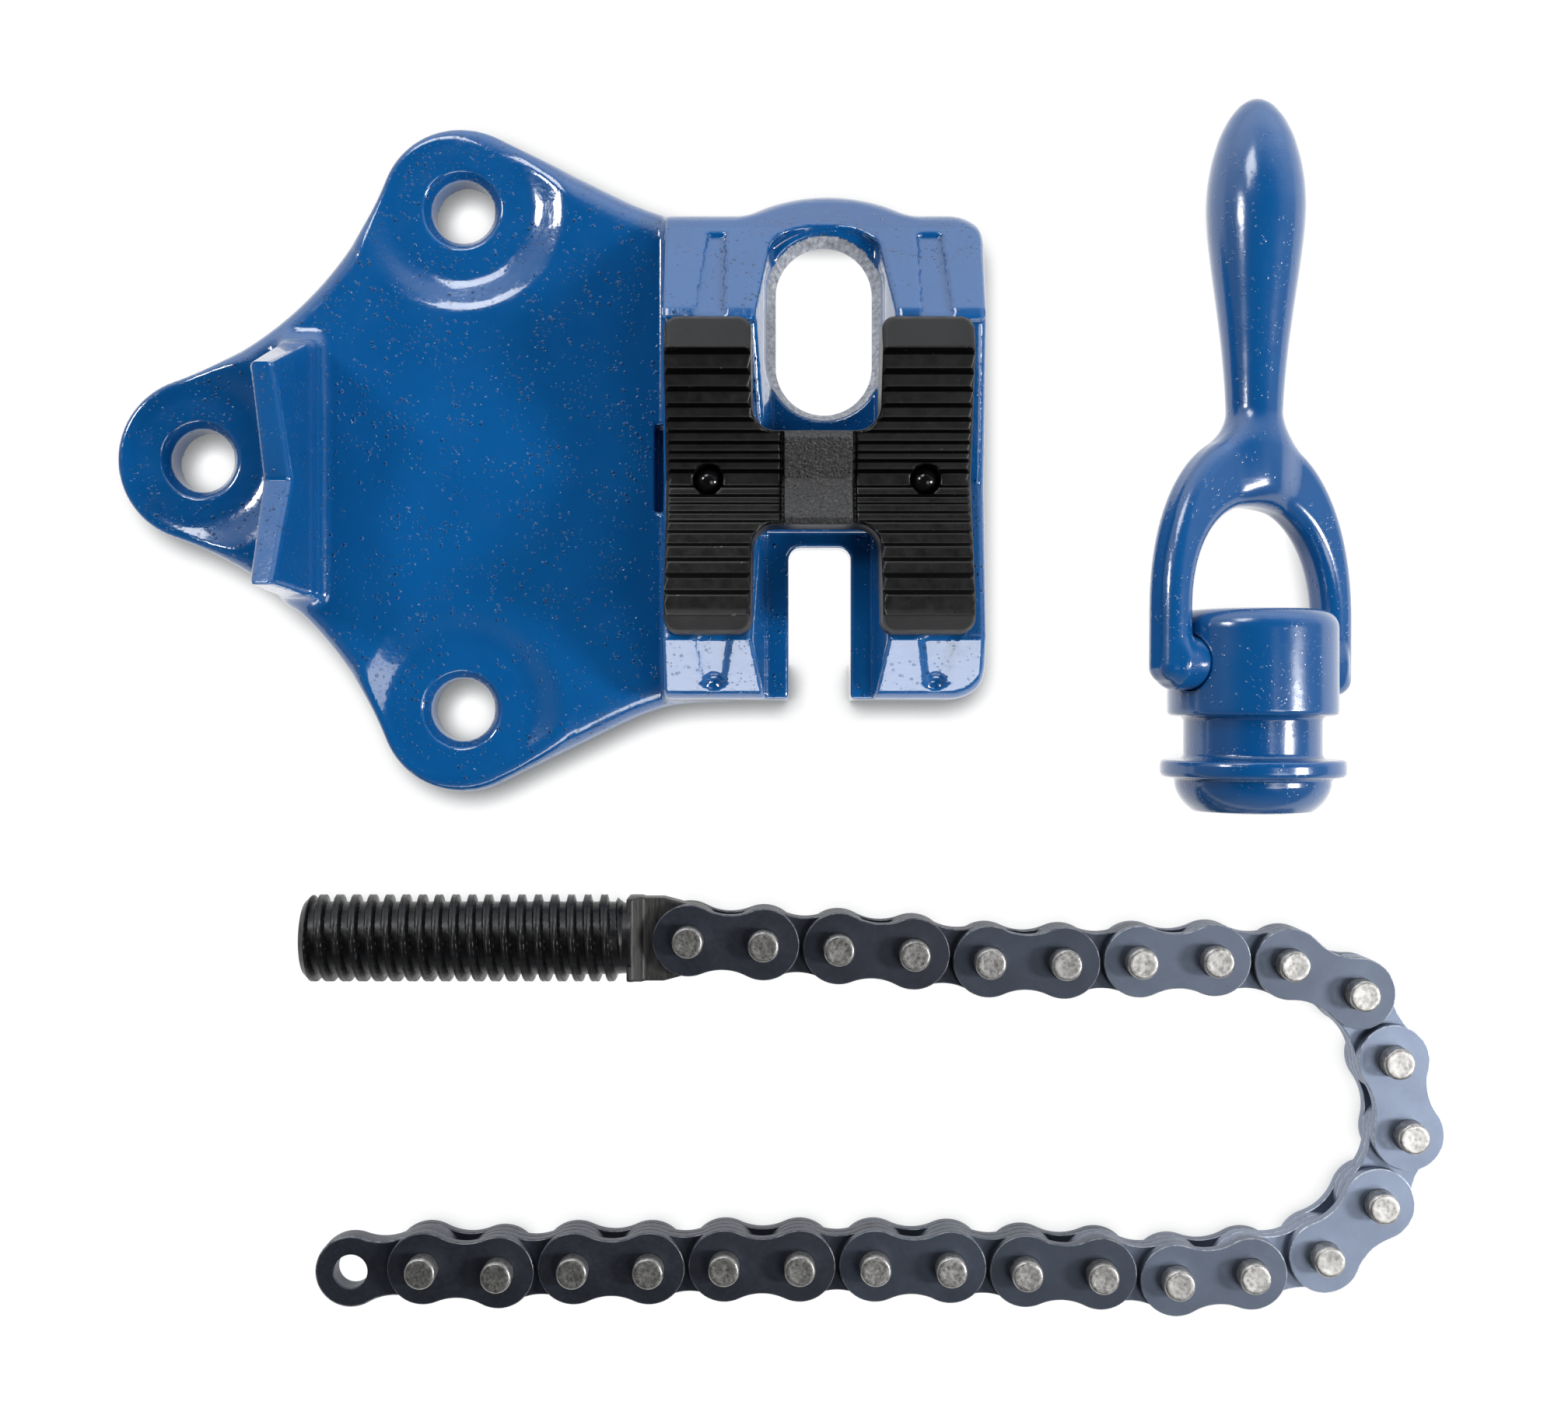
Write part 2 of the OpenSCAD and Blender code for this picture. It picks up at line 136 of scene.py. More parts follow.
def nets(F, lo, h):
    """Quads on the zero level of F, and the outward normal at each vertex."""
    s = F < 0
    c = sum(s[i:s.shape[0] - 1 + i, j:s.shape[1] - 1 + j, k:s.shape[2] - 1 + k].astype(np.int8) for i in (0, 1) for j in (0, 1) for k in (0, 1))
    act = (c > 0) & (c < 8)
    idx = np.full(act.shape, -1, np.int32)
    cells = np.argwhere(act)
    idx[act] = np.arange(len(cells))
    pos = np.zeros((len(cells), 3), np.float32)
    cnt = np.zeros(len(cells), np.float32)
    corners = [(i, j, k) for i in (0, 1) for j in (0, 1) for k in (0, 1)]
    val = {o: F[cells[:, 0] + o[0], cells[:, 1] + o[1], cells[:, 2] + o[2]] for o in corners}
    for o in corners:
        for a in range(3):
            if o[a] == 0:
                q = list(o)
                q[a] = 1
                f0, f1 = val[o], val[tuple(q)]
                m = (f0 < 0) != (f1 < 0)
                t = f0[m] / (f0[m] - f1[m])
                p = np.tile(np.array(o, np.float32), (len(t), 1))
                p[:, a] += t
                pos[m] += p
                cnt[m] += 1
    pos = (cells + pos / cnt[:, None]).astype(np.float32)
    quads = []
    for a in range(3):
        b, d = (a + 1) % 3, (a + 2) % 3
        sl0 = [slice(1, -1)] * 3
        sl1 = [slice(1, -1)] * 3
        sl0[a], sl1[a] = slice(0, -1), slice(1, None)
        s0, s1 = s[tuple(sl0)], s[tuple(sl1)]
        for flip in (False, True):
            e = np.argwhere((s0 & ~s1) if not flip else (~s0 & s1))
            if not len(e):
                continue
            base = e.copy()
            base[:, b] += 1
            base[:, d] += 1
            k = []
            for ob, od in ((-1, -1), (0, -1), (0, 0), (-1, 0)):
                q = base.copy()
                q[:, b] += ob
                q[:, d] += od
                k.append(idx[q[:, 0], q[:, 1], q[:, 2]])
            k = np.stack(k, 1)
            quads.append(k[:, ::-1] if flip else k)
    quads = np.concatenate(quads)
    i = np.clip(np.floor(pos).astype(int), 0, np.array(F.shape) - 2)
    w = pos - i
    n = np.zeros_like(pos)
    for a in range(3):
        for o in corners:
            if o[a] == 0:
                q = list(o)
                q[a] = 1
                wt = 1.0
                for c2 in range(3):
                    if c2 != a:
                        wt = wt * (w[:, c2] if o[c2] else 1 - w[:, c2])
                g = F[i[:, 0] + q[0], i[:, 1] + q[1], i[:, 2] + q[2]] - F[i[:, 0] + o[0], i[:, 1] + o[1], i[:, 2] + o[2]]
                n[:, a] += wt * g
    n /= np.maximum(np.linalg.norm(n, axis=1, keepdims=True), 1e-9)
    return pos * h + np.array(lo, np.float32), quads, n


def make(name, verts, faces, smooth=True, mats=(), normals=None, face_mat=None):
    me = bpy.data.meshes.new(name)
    verts = np.asarray(verts, np.float64) * MM
    me.from_pydata(verts.tolist(), [], faces.tolist() if isinstance(faces, np.ndarray) else faces)
    me.validate()
    if smooth:
        me.shade_smooth()
    for m in mats:
        me.materials.append(m)
    if face_mat is not None and len(me.polygons) == len(face_mat):
        me.polygons.foreach_set("material_index", np.asarray(face_mat, np.int32))
    if normals is not None and len(me.vertices) == len(normals):
        me.normals_split_custom_set_from_vertices(np.asarray(normals, np.float64).tolist())
    me.update()
    ob = bpy.data.objects.new(name, me)
    bpy.context.scene.collection.objects.link(ob)
    return ob


def face_centres(verts, quads):
    return verts[quads].mean(1)


def face_normals(verts, quads):
    a = verts[quads[:, 2]] - verts[quads[:, 0]]
    b = verts[quads[:, 3]] - verts[quads[:, 1]]
    n = np.cross(a, b)
    return n / np.maximum(np.linalg.norm(n, axis=1, keepdims=True), 1e-9)


# --------------------------------------------------------------- materials
class Mat:
    def __init__(self, name):
        self.m = bpy.data.materials.new(name)
        self.m.use_nodes = True
        self.t = self.m.node_tree
        self.b = self.t.nodes["Principled BSDF"]
        self.tc = self.t.nodes.new("ShaderNodeTexCoord")
        self.co = self.tc.outputs["Object"]

    def set(self, **kw):
        for k, v in kw.items():
            self.b.inputs[k.replace("_", " ")].default_value = v
        return self

    def node(self, kind, **kw):
        n = self.t.nodes.new(kind)
        for k, v in kw.items():
            setattr(n, k, v)
        return n

    def link(self, a, b):
        self.t.links.new(a, b)

    def mapping(self, scale=(1, 1, 1), rot=(0, 0, 0)):
        n = self.node("ShaderNodeMapping")
        n.inputs["Scale"].default_value = scale
        n.inputs["Rotation"].default_value = rot
        self.link(self.co, n.inputs["Vector"])
        return n.outputs[0]

    def noise(self, scale, detail=3.0, rough=0.5, vec=None, dist=0.0):
        n = self.node("ShaderNodeTexNoise")
        n.inputs["Scale"].default_value = scale
        n.inputs["Detail"].default_value = detail
        n.inputs["Roughness"].default_value = rough
        n.inputs["Distortion"].default_value = dist
        self.link(vec or self.co, n.inputs["Vector"])
        return n.outputs["Fac"]

    def voronoi(self, scale, feature="F1", vec=None, rand=1.0):
        n = self.node("ShaderNodeTexVoronoi", feature=feature)
        n.inputs["Scale"].default_value = scale
        n.inputs["Randomness"].default_value = rand
        self.link(vec or self.co, n.inputs["Vector"])
        return n.outputs["Distance"]

    def ramp(self, fac, stops, interp="LINEAR"):
        n = self.node("ShaderNodeValToRGB")
        cr = n.color_ramp
        cr.interpolation = interp
        while len(cr.elements) < len(stops):
            cr.elements.new(0.5)
        for e, (p, c) in zip(cr.elements, stops):
            e.position = p
            e.color = c if len(c) == 4 else (*c, 1)
        self.link(fac, n.inputs["Fac"])
        return n.outputs["Color"]

    def math(self, op, a, b=None, c=None, clamp=False):
        n = self.node("ShaderNodeMath", operation=op, use_clamp=clamp)
        for i, v in enumerate((a, b, c)):
            if v is None:
                continue
            if isinstance(v, (int, float)):
                n.inputs[i].default_value = v
            else:
                self.link(v, n.inputs[i])
        return n.outputs[0]

    def mix(self, fac, a, b, blend="MIX"):
        n = self.node("ShaderNodeMix", data_type="RGBA", blend_type=blend)
        for i, v in ((0, fac), (6, a), (7, b)):
            if isinstance(v, (int, float)):
                n.inputs[i].default_value = v
            elif isinstance(v, tuple):
                n.inputs[i].default_value = v if len(v) == 4 else (*v, 1)
            else:
                self.link(v, n.inputs[i])
        return n.outputs[2]

    def maprange(self, v, a, b, c, d):
        n = self.node("ShaderNodeMapRange")
        n.clamp = True
        self.link(v, n.inputs[0])
        for i, x in enumerate((a, b, c, d)):
            n.inputs[i + 1].default_value = x
        return n.outputs[0]

    def smooth(self, v, a, b, c, d):
        s = self.maprange(v, a, b, c, d)
        s.node.interpolation_type = "SMOOTHSTEP"
        return s

    def bump(self, *layers):
        """layers: (height socket, strength, distance in metres)"""
        prev = None
        for h, s, d in layers:
            n = self.node("ShaderNodeBump")
            n.inputs["Strength"].default_value = s
            n.inputs["Distance"].default_value = d
            self.link(h, n.inputs["Height"])
            if prev is not None:
                self.link(prev, n.inputs["Normal"])
            prev = n.outputs[0]
        self.link(prev, self.b.inputs["Normal"])
        return prev

    def color(self, s):
        self.link(s, self.b.inputs["Base Color"])

    def rough(self, s):
        self.link(s, self.b.inputs["Roughness"])

    def pointiness(self):
        return self.node("ShaderNodeNewGeometry").outputs["Pointiness"]

    def axis(self, i, vec=None):
        n = self.node("ShaderNodeSeparateXYZ")
        self.link(vec or self.co, n.inputs[0])
        return n.outputs[i]


def enamel(name, cast=1.0):
    m = Mat(name)
    m.set(Metallic=0.0, Specular_IOR_Level=0.5, Coat_Weight=1.0, Coat_Roughness=0.05)
    big = m.noise(28, 4, 0.6)
    base = m.ramp(big, [(0.3, (0.0012, 0.067, 0.235)), (0.7, (0.0022, 0.086, 0.285))])
    # painted shade in the corners and painted highlight on the edges: darker in hollows and lighter on edges, from
    # pointiness
    pt = m.maprange(m.pointiness(), 0.44, 0.56, 0.0, 1.0)
    col = m.mix(pt, m.mix(0.25, base, (0.001, 0.04, 0.15)), m.mix(0.12, base, (0.02, 0.2, 0.5)))
    m.color(col)
    m.rough(m.maprange(m.noise(160, 4, 0.6), 0.3, 0.7, 0.1, 0.22))
    # orange peel, sand texture under the paint and single grains
    peel = m.noise(420, 3, 0.5)
    sand = m.noise(1300, 3, 0.6)
    grain = m.smooth(m.voronoi(470), 0.0, 0.26, 1.0, 0.0)
    keep = m.maprange(m.noise(75, 3, 0.6), 0.47, 0.55, 0.0, 1.0)
    grains = m.math("MULTIPLY", grain, keep)
    fine = m.smooth(m.voronoi(900), 0.0, 0.28, 1.0, 0.0)
    some = m.maprange(m.noise(130, 3, 0.6), 0.5, 0.57, 0.0, 1.0)
    fines = m.math("MULTIPLY", fine, some)
    m.bump((peel, 0.6 * cast, 0.00018), (sand, 0.2 * cast, 0.00007), (grains, 1.0 * cast, 0.0007), (fines, 1.0 * cast, 0.0004))
    return m.m


def bare_iron():
    m = Mat("worn_iron")
    m.set(Metallic=0.55, Specular_IOR_Level=0.5)
    v = m.mapping(scale=(1, 1, 0.25))
    n = m.noise(900, 5, 0.7, vec=v)
    m.color(m.ramp(n, [(0.28, (0.1, 0.115, 0.15)), (0.48, (0.36, 0.38, 0.43)), (0.7, (0.72, 0.74, 0.78))]))
    m.rough(m.maprange(n, 0.3, 0.7, 0.38, 0.62))
    m.bump((n, 0.4, 0.0002))
    return m.m


def jaw_black(name="jaw_black", tone=1.0):
    m = Mat(name)
    m.set(Metallic=0.0, Specular_IOR_Level=0.35)
    big = m.noise(60, 4, 0.6)
    base = m.ramp(big, [(0.3, (0.0048 * tone, 0.0048 * tone, 0.0053 * tone)), (0.7, (0.0088 * tone, 0.0087 * tone, 0.009 * tone))])
    speck = m.maprange(m.noise(1500, 2, 0.5), 0.7, 0.76, 0.0, 0.5)
    m.color(m.mix(speck, base, (0.05, 0.05, 0.05)))
    m.rough(m.maprange(m.noise(350, 4, 0.6), 0.3, 0.7, 0.3, 0.48))
    lines = m.noise(900, 3, 0.6, vec=m.mapping(scale=(0.25, 1, 1)))
    m.bump((m.noise(900, 3, 0.6), 0.3, 0.0001), (lines, 0.2, 0.00005))
    return m.m


def jaw_crest():
    m = Mat("jaw_crest")
    m.set(Metallic=0.3, Specular_IOR_Level=0.5)
    n = m.noise(700, 4, 0.75, vec=m.mapping(scale=(0.45, 1, 1)))
    w = m.maprange(n, 0.66, 0.72, 0.0, 1.0)
    m.color(m.mix(w, (0.02, 0.0195, 0.019), (0.34, 0.34, 0.34)))
    m.rough(m.maprange(n, 0.3, 0.7, 0.45, 0.3))
    return m.m


def jaw_pad():
    m = Mat("jaw_pad")
    m.set(Metallic=0.0, Specular_IOR_Level=0.5)
    g = m.noise(1500, 3, 0.65)
    v = m.voronoi(1500)
    m.color(m.ramp(g, [(0.35, (0.014, 0.014, 0.0145)), (0.6, (0.05, 0.05, 0.052)), (0.75, (0.13, 0.13, 0.13))]))
    m.rough(m.maprange(g, 0.3, 0.7, 0.3, 0.6))
    m.bump((g, 0.9, 0.00035), (v, 0.5, 0.00025))
    return m.m


def oxide(name, rough=(0.26, 0.46)):
    m = Mat(name)
    m.set(Metallic=0.35, Specular_IOR_Level=0.6)
    n = m.noise(300, 4, 0.6)
    base = m.ramp(n, [(0.3, (0.004, 0.004, 0.0046)), (0.7, (0.009, 0.0093, 0.0105))])
    pt = m.maprange(m.pointiness(), 0.54, 0.62, 0.0, 1.0)
    col = m.mix(m.math("MULTIPLY", pt, 0.35), base, (0.09, 0.1, 0.12))
    rust = m.maprange(m.noise(95, 2, 0.5), 0.735, 0.76, 0.0, 0.85)
    m.color(m.mix(rust, col, (0.12, 0.022, 0.004)))
    m.rough(m.maprange(m.noise(500, 4, 0.6), 0.3, 0.7, *rough))
    m.bump((m.noise(1100, 3, 0.6), 0.2, 0.00007), (n, 0.15, 0.00015))
    return m.m


def milled():
    m = Mat("milled_black")
    m.set(Metallic=0.3, Specular_IOR_Level=0.5)
    v = m.mapping(scale=(1, 0.12, 1), rot=(0, 0, math.radians(35)))
    g = m.noise(1500, 4, 0.7, vec=v)
    m.color(m.ramp(g, [(0.3, (0.016, 0.0156, 0.016)), (0.7, (0.064, 0.061, 0.058))]))
    m.rough(m.maprange(g, 0.3, 0.7, 0.35, 0.55))
    m.bump((g, 0.45, 0.00012))
    return m.m


def blued(name, tone=0.0, rim=False):
    """Punched, blued chain plates: bluer and lighter with tone, which is a painted light level; rim adds a painted
    highlight on the top bevel.
    """
    m = Mat(name)
    m.set(Metallic=0.75, Specular_IOR_Level=0.5)
    n1 = m.noise(55, 4, 0.6)
    n2 = m.noise(900, 4, 0.7)
    k = tone
    r = 0.040 if k < 1.2 else 0.037
    a = (r * k, 0.044 * k, 0.060 * k)
    b = (1.3 * r * k, 0.058 * k, 0.078 * k)
    base = m.ramp(n1, [(0.3, a), (0.7, b)])
    base = m.mix(m.maprange(n2, 0.5, 0.8, 0.0, 0.12), base, (0.11 * k, 0.12 * k, 0.145 * k))
    # painted highlight: a lighter, patchy band on the top bevel
    if rim:
        base = m.mix(m.maprange(m.noise(380, 4, 0.7), 0.4, 0.62, 0.15, 0.75), base, (0.2 * k + 0.06, 0.21 * k + 0.06, 0.23 * k + 0.06))
    m.color(base)
    m.rough(m.maprange(n2, 0.3, 0.7, 0.38, 0.5))
    scr = m.noise(600, 3, 0.6, vec=m.mapping(scale=(0.15, 1, 1), rot=(0, 0, 0.5)))
    m.bump((n2, 0.12, 0.00005), (scr, 0.08, 0.00005))
    return m.m


def pin_steel(name="pin_steel", k=1.0):
    m = Mat(name)
    m.set(Metallic=0.9, Specular_IOR_Level=0.5)
    v = m.voronoi(900, feature="SMOOTH_F1")
    n = m.noise(1400, 4, 0.7)
    big = m.noise(130, 2, 0.5)
    mixv = m.math("ADD", m.math("MULTIPLY", v, 0.6), m.math("MULTIPLY", n, 0.6))
    base = m.ramp(mixv, [(0.3, (0.3 * k, 0.295 * k, 0.285 * k)), (0.5, (0.47 * k, 0.46 * k, 0.445 * k)), (0.75, (0.68 * k, 0.67 * k, 0.65 * k))])
    m.color(m.mix(m.maprange(big, 0.45, 0.6, 0.0, 0.3), base, (0.25, 0.245, 0.24)))
    m.rough(m.maprange(n, 0.3, 0.7, 0.28, 0.5))
    m.bump((mixv, 0.4, 0.00016))
    return m.m


M_BLUE = enamel("blue_enamel")
M_BLUE2 = enamel("blue_enamel_smooth", 0.4)
M_BLUE2.node_tree.nodes["Principled BSDF"].inputs["Coat Roughness"].default_value = 0.2
M_IRON = bare_iron()
M_JAW = jaw_black()
M_JAWEND = jaw_black("jaw_black_end", 1.5)
M_CREST = jaw_crest()
# Copies of the jaw black that stand in for light: the low copy (tone 4.2) is painted light on the lower sloping
# ends, the step copy (tone 0.25, little specular) is painted shadow on the tooth steps.
M_JAWLOW = jaw_black("jaw_black_low_painted_light", 4.2)
M_STEP_SHADE = jaw_black("jaw_black_step_painted_shade", 0.25)
M_STEP_SHADE.node_tree.nodes["Principled BSDF"].inputs["Specular IOR Level"].default_value = 0.05
M_PAD = jaw_pad()
M_OX = oxide("black_oxide")
M_SCREWHEAD = oxide("black_gloss", (0.08, 0.2))
M_MILL = milled()
# painted light: plate tones from left to right along the chain, lighter towards the right
PLATE_PAINTED_LIGHT = (1.15, 1.15, 1.6, 3.0, 5.2)
M_PLATE = [(blued("blued_plate_%d" % i, t), blued("blued_painted_highlight_%d" % i, t, True)) for i, t in enumerate(PLATE_PAINTED_LIGHT)]
# painted shade: pins further left get darker copies of the steel
M_PIN = [pin_steel("pin_steel_%d" % i, k) for i, k in enumerate((0.72, 0.86, 1.0))]


# ------------------------------------------------------------ base casting
LUG_R, LUG_DX, LUG_DY = 21.5, 67.0, 64.0
LUG_T, WEB_T = 12.0, 15.0
BX0, BX1, BHW = 119.0, 201.0, 62.0
HX, HY, HR, HH = 159.6, 32.0, 12.1, 9.0
SX, SR, SY = 158.4, 7.7, -23.5
VY, VZ, VR = -8.0, 36.0, 0.5


def plate_points(r):
    """Closed outline of the plate for a given lug radius."""
    h = math.hypot(LUG_DX, LUG_DY) / 2
    rho = 69.7 + 40 - r
    c = math.sqrt((rho + r) ** 2 - h * h)
    u = np.array([-LUG_DY, LUG_DX]) / (2 * h)
    m = np.array([LUG_DX, LUG_DY]) / 2 + c * u
    ax = math.atan2(BHW - LUG_DY, BX0 + 2 - LUG_DX)
    d = math.hypot(BX0 + 2 - LUG_DX, BHW - LUG_DY)
    top = ax + math.acos(r / d)
    # tangent points of the concave side
    a1 = math.atan2(m[1], m[0])
    a2 = math.atan2(m[1] - LUG_DY, m[0] - LUG_DX)
    a2 = a2 if a2 > 0 else a2 + 2 * math.pi
    half = []
    for t in np.linspace(math.pi, a1, 16):
        half.append((r * math.cos(t), r * math.sin(t)))
    b1 = math.atan2(-m[1], -m[0])
    b2 = math.atan2(LUG_DY - m[1], LUG_DX - m[0])
    for t in np.linspace(b1, b2, 26)[1:-1]:
        half.append((m[0] + rho * math.cos(t), m[1] + rho * math.sin(t)))
    for t in np.linspace(a2, top, 30):
        half.append((LUG_DX + r * math.cos(t), LUG_DY + r * math.sin(t)))
    # the straight side runs into the block through a wide fillet
    p0 = np.array(half[-1])
    c0 = np.array([BX0 + 2.0, BHW - 0.6 - LUG_R + r])
    d0 = (p0 - c0) / np.linalg.norm(p0 - c0)
    p1 = c0 + d0 * 15.0
    p2 = c0 + np.array([14.0, 0])
    for t in np.linspace(0, 1, 9):
        q = (1 - t) ** 2 * p1 + 2 * t * (1 - t) * c0 + t * t * p2
        half.append((q[0], q[1]))
    low = [(x, -y) for x, y in half[1:]][::-1]
    return half + low


def obround(x, y, cx, cy, r, h):
    dy = np.maximum(np.abs(y - cy) - h, 0)
    return np.sqrt((x - cx) ** 2 + dy ** 2) - r


def casting_field(x, y, z):
    out = poly2(x, y, plate_points(LUG_R))
    lug_d = [np.sqrt((x - a) ** 2 + (y - b) ** 2) for a, b in ((0, 0), (LUG_DX, LUG_DY), (LUG_DX, -LUG_DY))]
    near = np.minimum(lug_d[0], np.minimum(lug_d[1], lug_d[2]))
    # web with well rounded edges, sinking softly towards the lugs
    k = np.clip((x - 48) / 30, 0, 1)
    k = k * k * (3 - 2 * k)
    off = np.minimum(lug_d[0] - 15.6, np.minimum(lug_d[1], lug_d[2]) - 17.0)
    t = np.clip(off / 11.0, 0, 1)
    top = LUG_T + (WEB_T - LUG_T) * t * t * (3 - 2 * t)
    f = rmax(out + 0.045 * z, z - top, 2.2 + 2.8 * np.clip((near - 21) / 9, 0, 1) + 3.0 * k)
    # pipe rest
    prof = poly2(y, z, [(-36.4, -6), (30.4, -6), (30, 15), (18.4, 49.2), (VY, VZ), (-34.4, 49.2), (-36, 15)])
    dx = np.maximum(22.6 - x - 0.015 * (49 - z), x - 28.5 - 0.09 * (49 - z))
    f = rmin(f, rmax(prof, dx, 1.5), 3.6)
    # jaw block
    bl = box2(x, y, (BX0 + BX1) / 2, 0, (BX1 - BX0) / 2, BHW, 10.0)
    bl = np.minimum(bl, box2(x, y, BX0 + 12, 0, 14, BHW, 0.5))
    boss = np.maximum(np.maximum(np.sqrt((x - 160.6) ** 2 + (y - 30.0) ** 2) - 38.0, 45 - y), np.abs(x - 160) - 34)
    bl = rmin(bl, boss, 0.7)
    tp = poly2(y, z, [(-90, -6), (90, -6), (90, -5), (75, 5.2), (57, 21.2), (33.5, 38), (30.4, 38.8), (30.4, 37.5), (VY, 26), (-46.4, 37.5), (-46.4, 38.4), (-47.6, 37.4), (-58.6, 28.2), (-64, 23.7), (-90, 2)])
    blk = rmax(bl + 0.025 * z, tp, 2.6)
    blk = rmax(blk, BX0 - x + 0.02 * z, 1.1)
    blk = rmax(blk, x - BX1 + 0.055 * z, 2.0)
    f = rmin(f, blk, 1.8)
    # channel over the screw hole, open towards the arched boss
    side = np.abs(x - HX) - (13.7 + 0.24 * np.maximum(z - 24, 0))
    arch = np.sqrt((x - HX) ** 2 + np.maximum(y - 37.4, 0) ** 2) - 20.3
    ch = np.maximum(rmax(side, arch, 1.0), 3.8 - y)
    f = rmax(f, -rmax(ch, 20.0 - z, 1.6), 1.3)
    # channel over the chain slot
    lowc = np.maximum(np.abs(x - 158.3) - (13.4 + 0.24 * np.maximum(z - 24, 0)), y + 19.8 - 0.4 * (z - 23))
    f = rmax(f, -rmax(lowc, 23.0 - z, 0.5), 1.0)
    # screw hole with a flared mouth
    ob = obround(x, y, HX, HY, HR, HH)
    f = rmax(f, -ob, 0.5)
    f = rmax(f, -(ob - 2.3 * np.clip((z - 14.6) / 5.4, 0, 1.2)) * 0.9, 0.3)
    # chain slot
    sl = np.maximum(np.abs(x - SX) - SR, y - SY)
    sl = np.where((y > SY - 3) & (np.abs(x - SX) > SR - 3), np.sqrt(np.maximum(np.abs(x - SX) - SR + 3, 0) ** 2 + np.maximum(y - SY + 3, 0) ** 2) - 3, sl)
    f = rmax(f, -sl, 0.8)
    # hollow under the block
    cav = rmax(box2(x, y, (BX0 + BX1) / 2, 0, (BX1 - BX0) / 2 - 8, 52, 3.0), z - 13.0, 2.0)
    f = rmax(f, -cav, 0.8)
    poc = rmax(box2(x, y, HX, 48, 17, 10.5, 4.0), z - 13.0, 1.5)
    f = rmax(f, -poc, 0.8)
    # shallow grooves on the shoulders
    for k1 in (-1, 1):
        g = poly2(y, z, [(29, 70), (29, 40.2), (34, 36.3), (54.2, 21.7), (57.0, 23.4), (57.0, 70)])
        u = (x - HX) * k1
        inn, outw = (24.6, 31.6 - 0.11 * (y - 34)) if k1 < 0 else (23.3, 30.7 - 0.07 * (y - 34))
        wall = np.maximum(inn - u, u - outw) + 0.25 * np.sin(y * 1.7 + k1) * np.sin(y * 0.6)
        g = rmax(g, wall, 1.0)
        f = rmax(f, -g, 0.7)
        gx = 132.2 if k1 < 0 else 187.0
        g = poly2(y, z, [(-45, 70), (-45, 38.9), (-49.5, 35.1), (-57.2, 28.7), (-58.6, 29.8), (-58.6, 70)])
        g = rmax(g, np.abs(x - gx) - (4.2 + 0.16 * (y + 47)), 2.2)
        f = rmax(f, -g, 2.0)
        dm = np.sqrt((x - gx) ** 2 + (y + 57.4) ** 2 + (z - 29.6) ** 2) - 2.3
        f = rmax(f, -dm, 0.7)
    # window in the left wall
    win = np.maximum(np.maximum(np.abs(x - 119.6) - 2.9, np.abs(y + 2.8) - 11.1), np.abs(z - 16.5) - 7.5)
    f = rmax(f, -win, 0.6)
    # bolt holes with a countersunk mouth
    for d in lug_d:
        f = rmax(f, -(d - 7.8), 0.3)
        f = rmax(f, -((d - 7.8) - np.clip(z - (LUG_T - 3.6), 0, 4.2) * 0.62) * 0.85, 0.5)
    for sx in (131, 184):
        f = np.maximum(f, -np.maximum(np.sqrt((x - sx) ** 2 + (y - VY) ** 2) - 2.55, 12 - z))
    return np.maximum(f, 0.02 - z)


def base_casting():
    lo, hi, h = (-22, -86, -2), (201, 87, 51), 0.72
    g = grid(lo, hi, h)
    F = casting_field(*g)
    v, q, n = nets(F, lo, h)
    c = face_centres(v, q)
    fn = face_normals(v, q)
    ob = obround(c[:, 0], c[:, 1], HX, HY, HR, HH)
    rim = (ob < 2.15) & (c[:, 2] > 8) & (c[:, 2] < 20.4)
    o = make("casting", v, q, True, (M_BLUE, M_IRON), n, rim.astype(int))
    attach(o, "vise_body")
    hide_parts("base_casting")
    return o


# --------------------------------------------------------------------- jaw
TEETH = [29.4, 24.9, 20.9, 17.3, 14.1, 11.3, 8.8, 6.6, 4.7, 2.4]


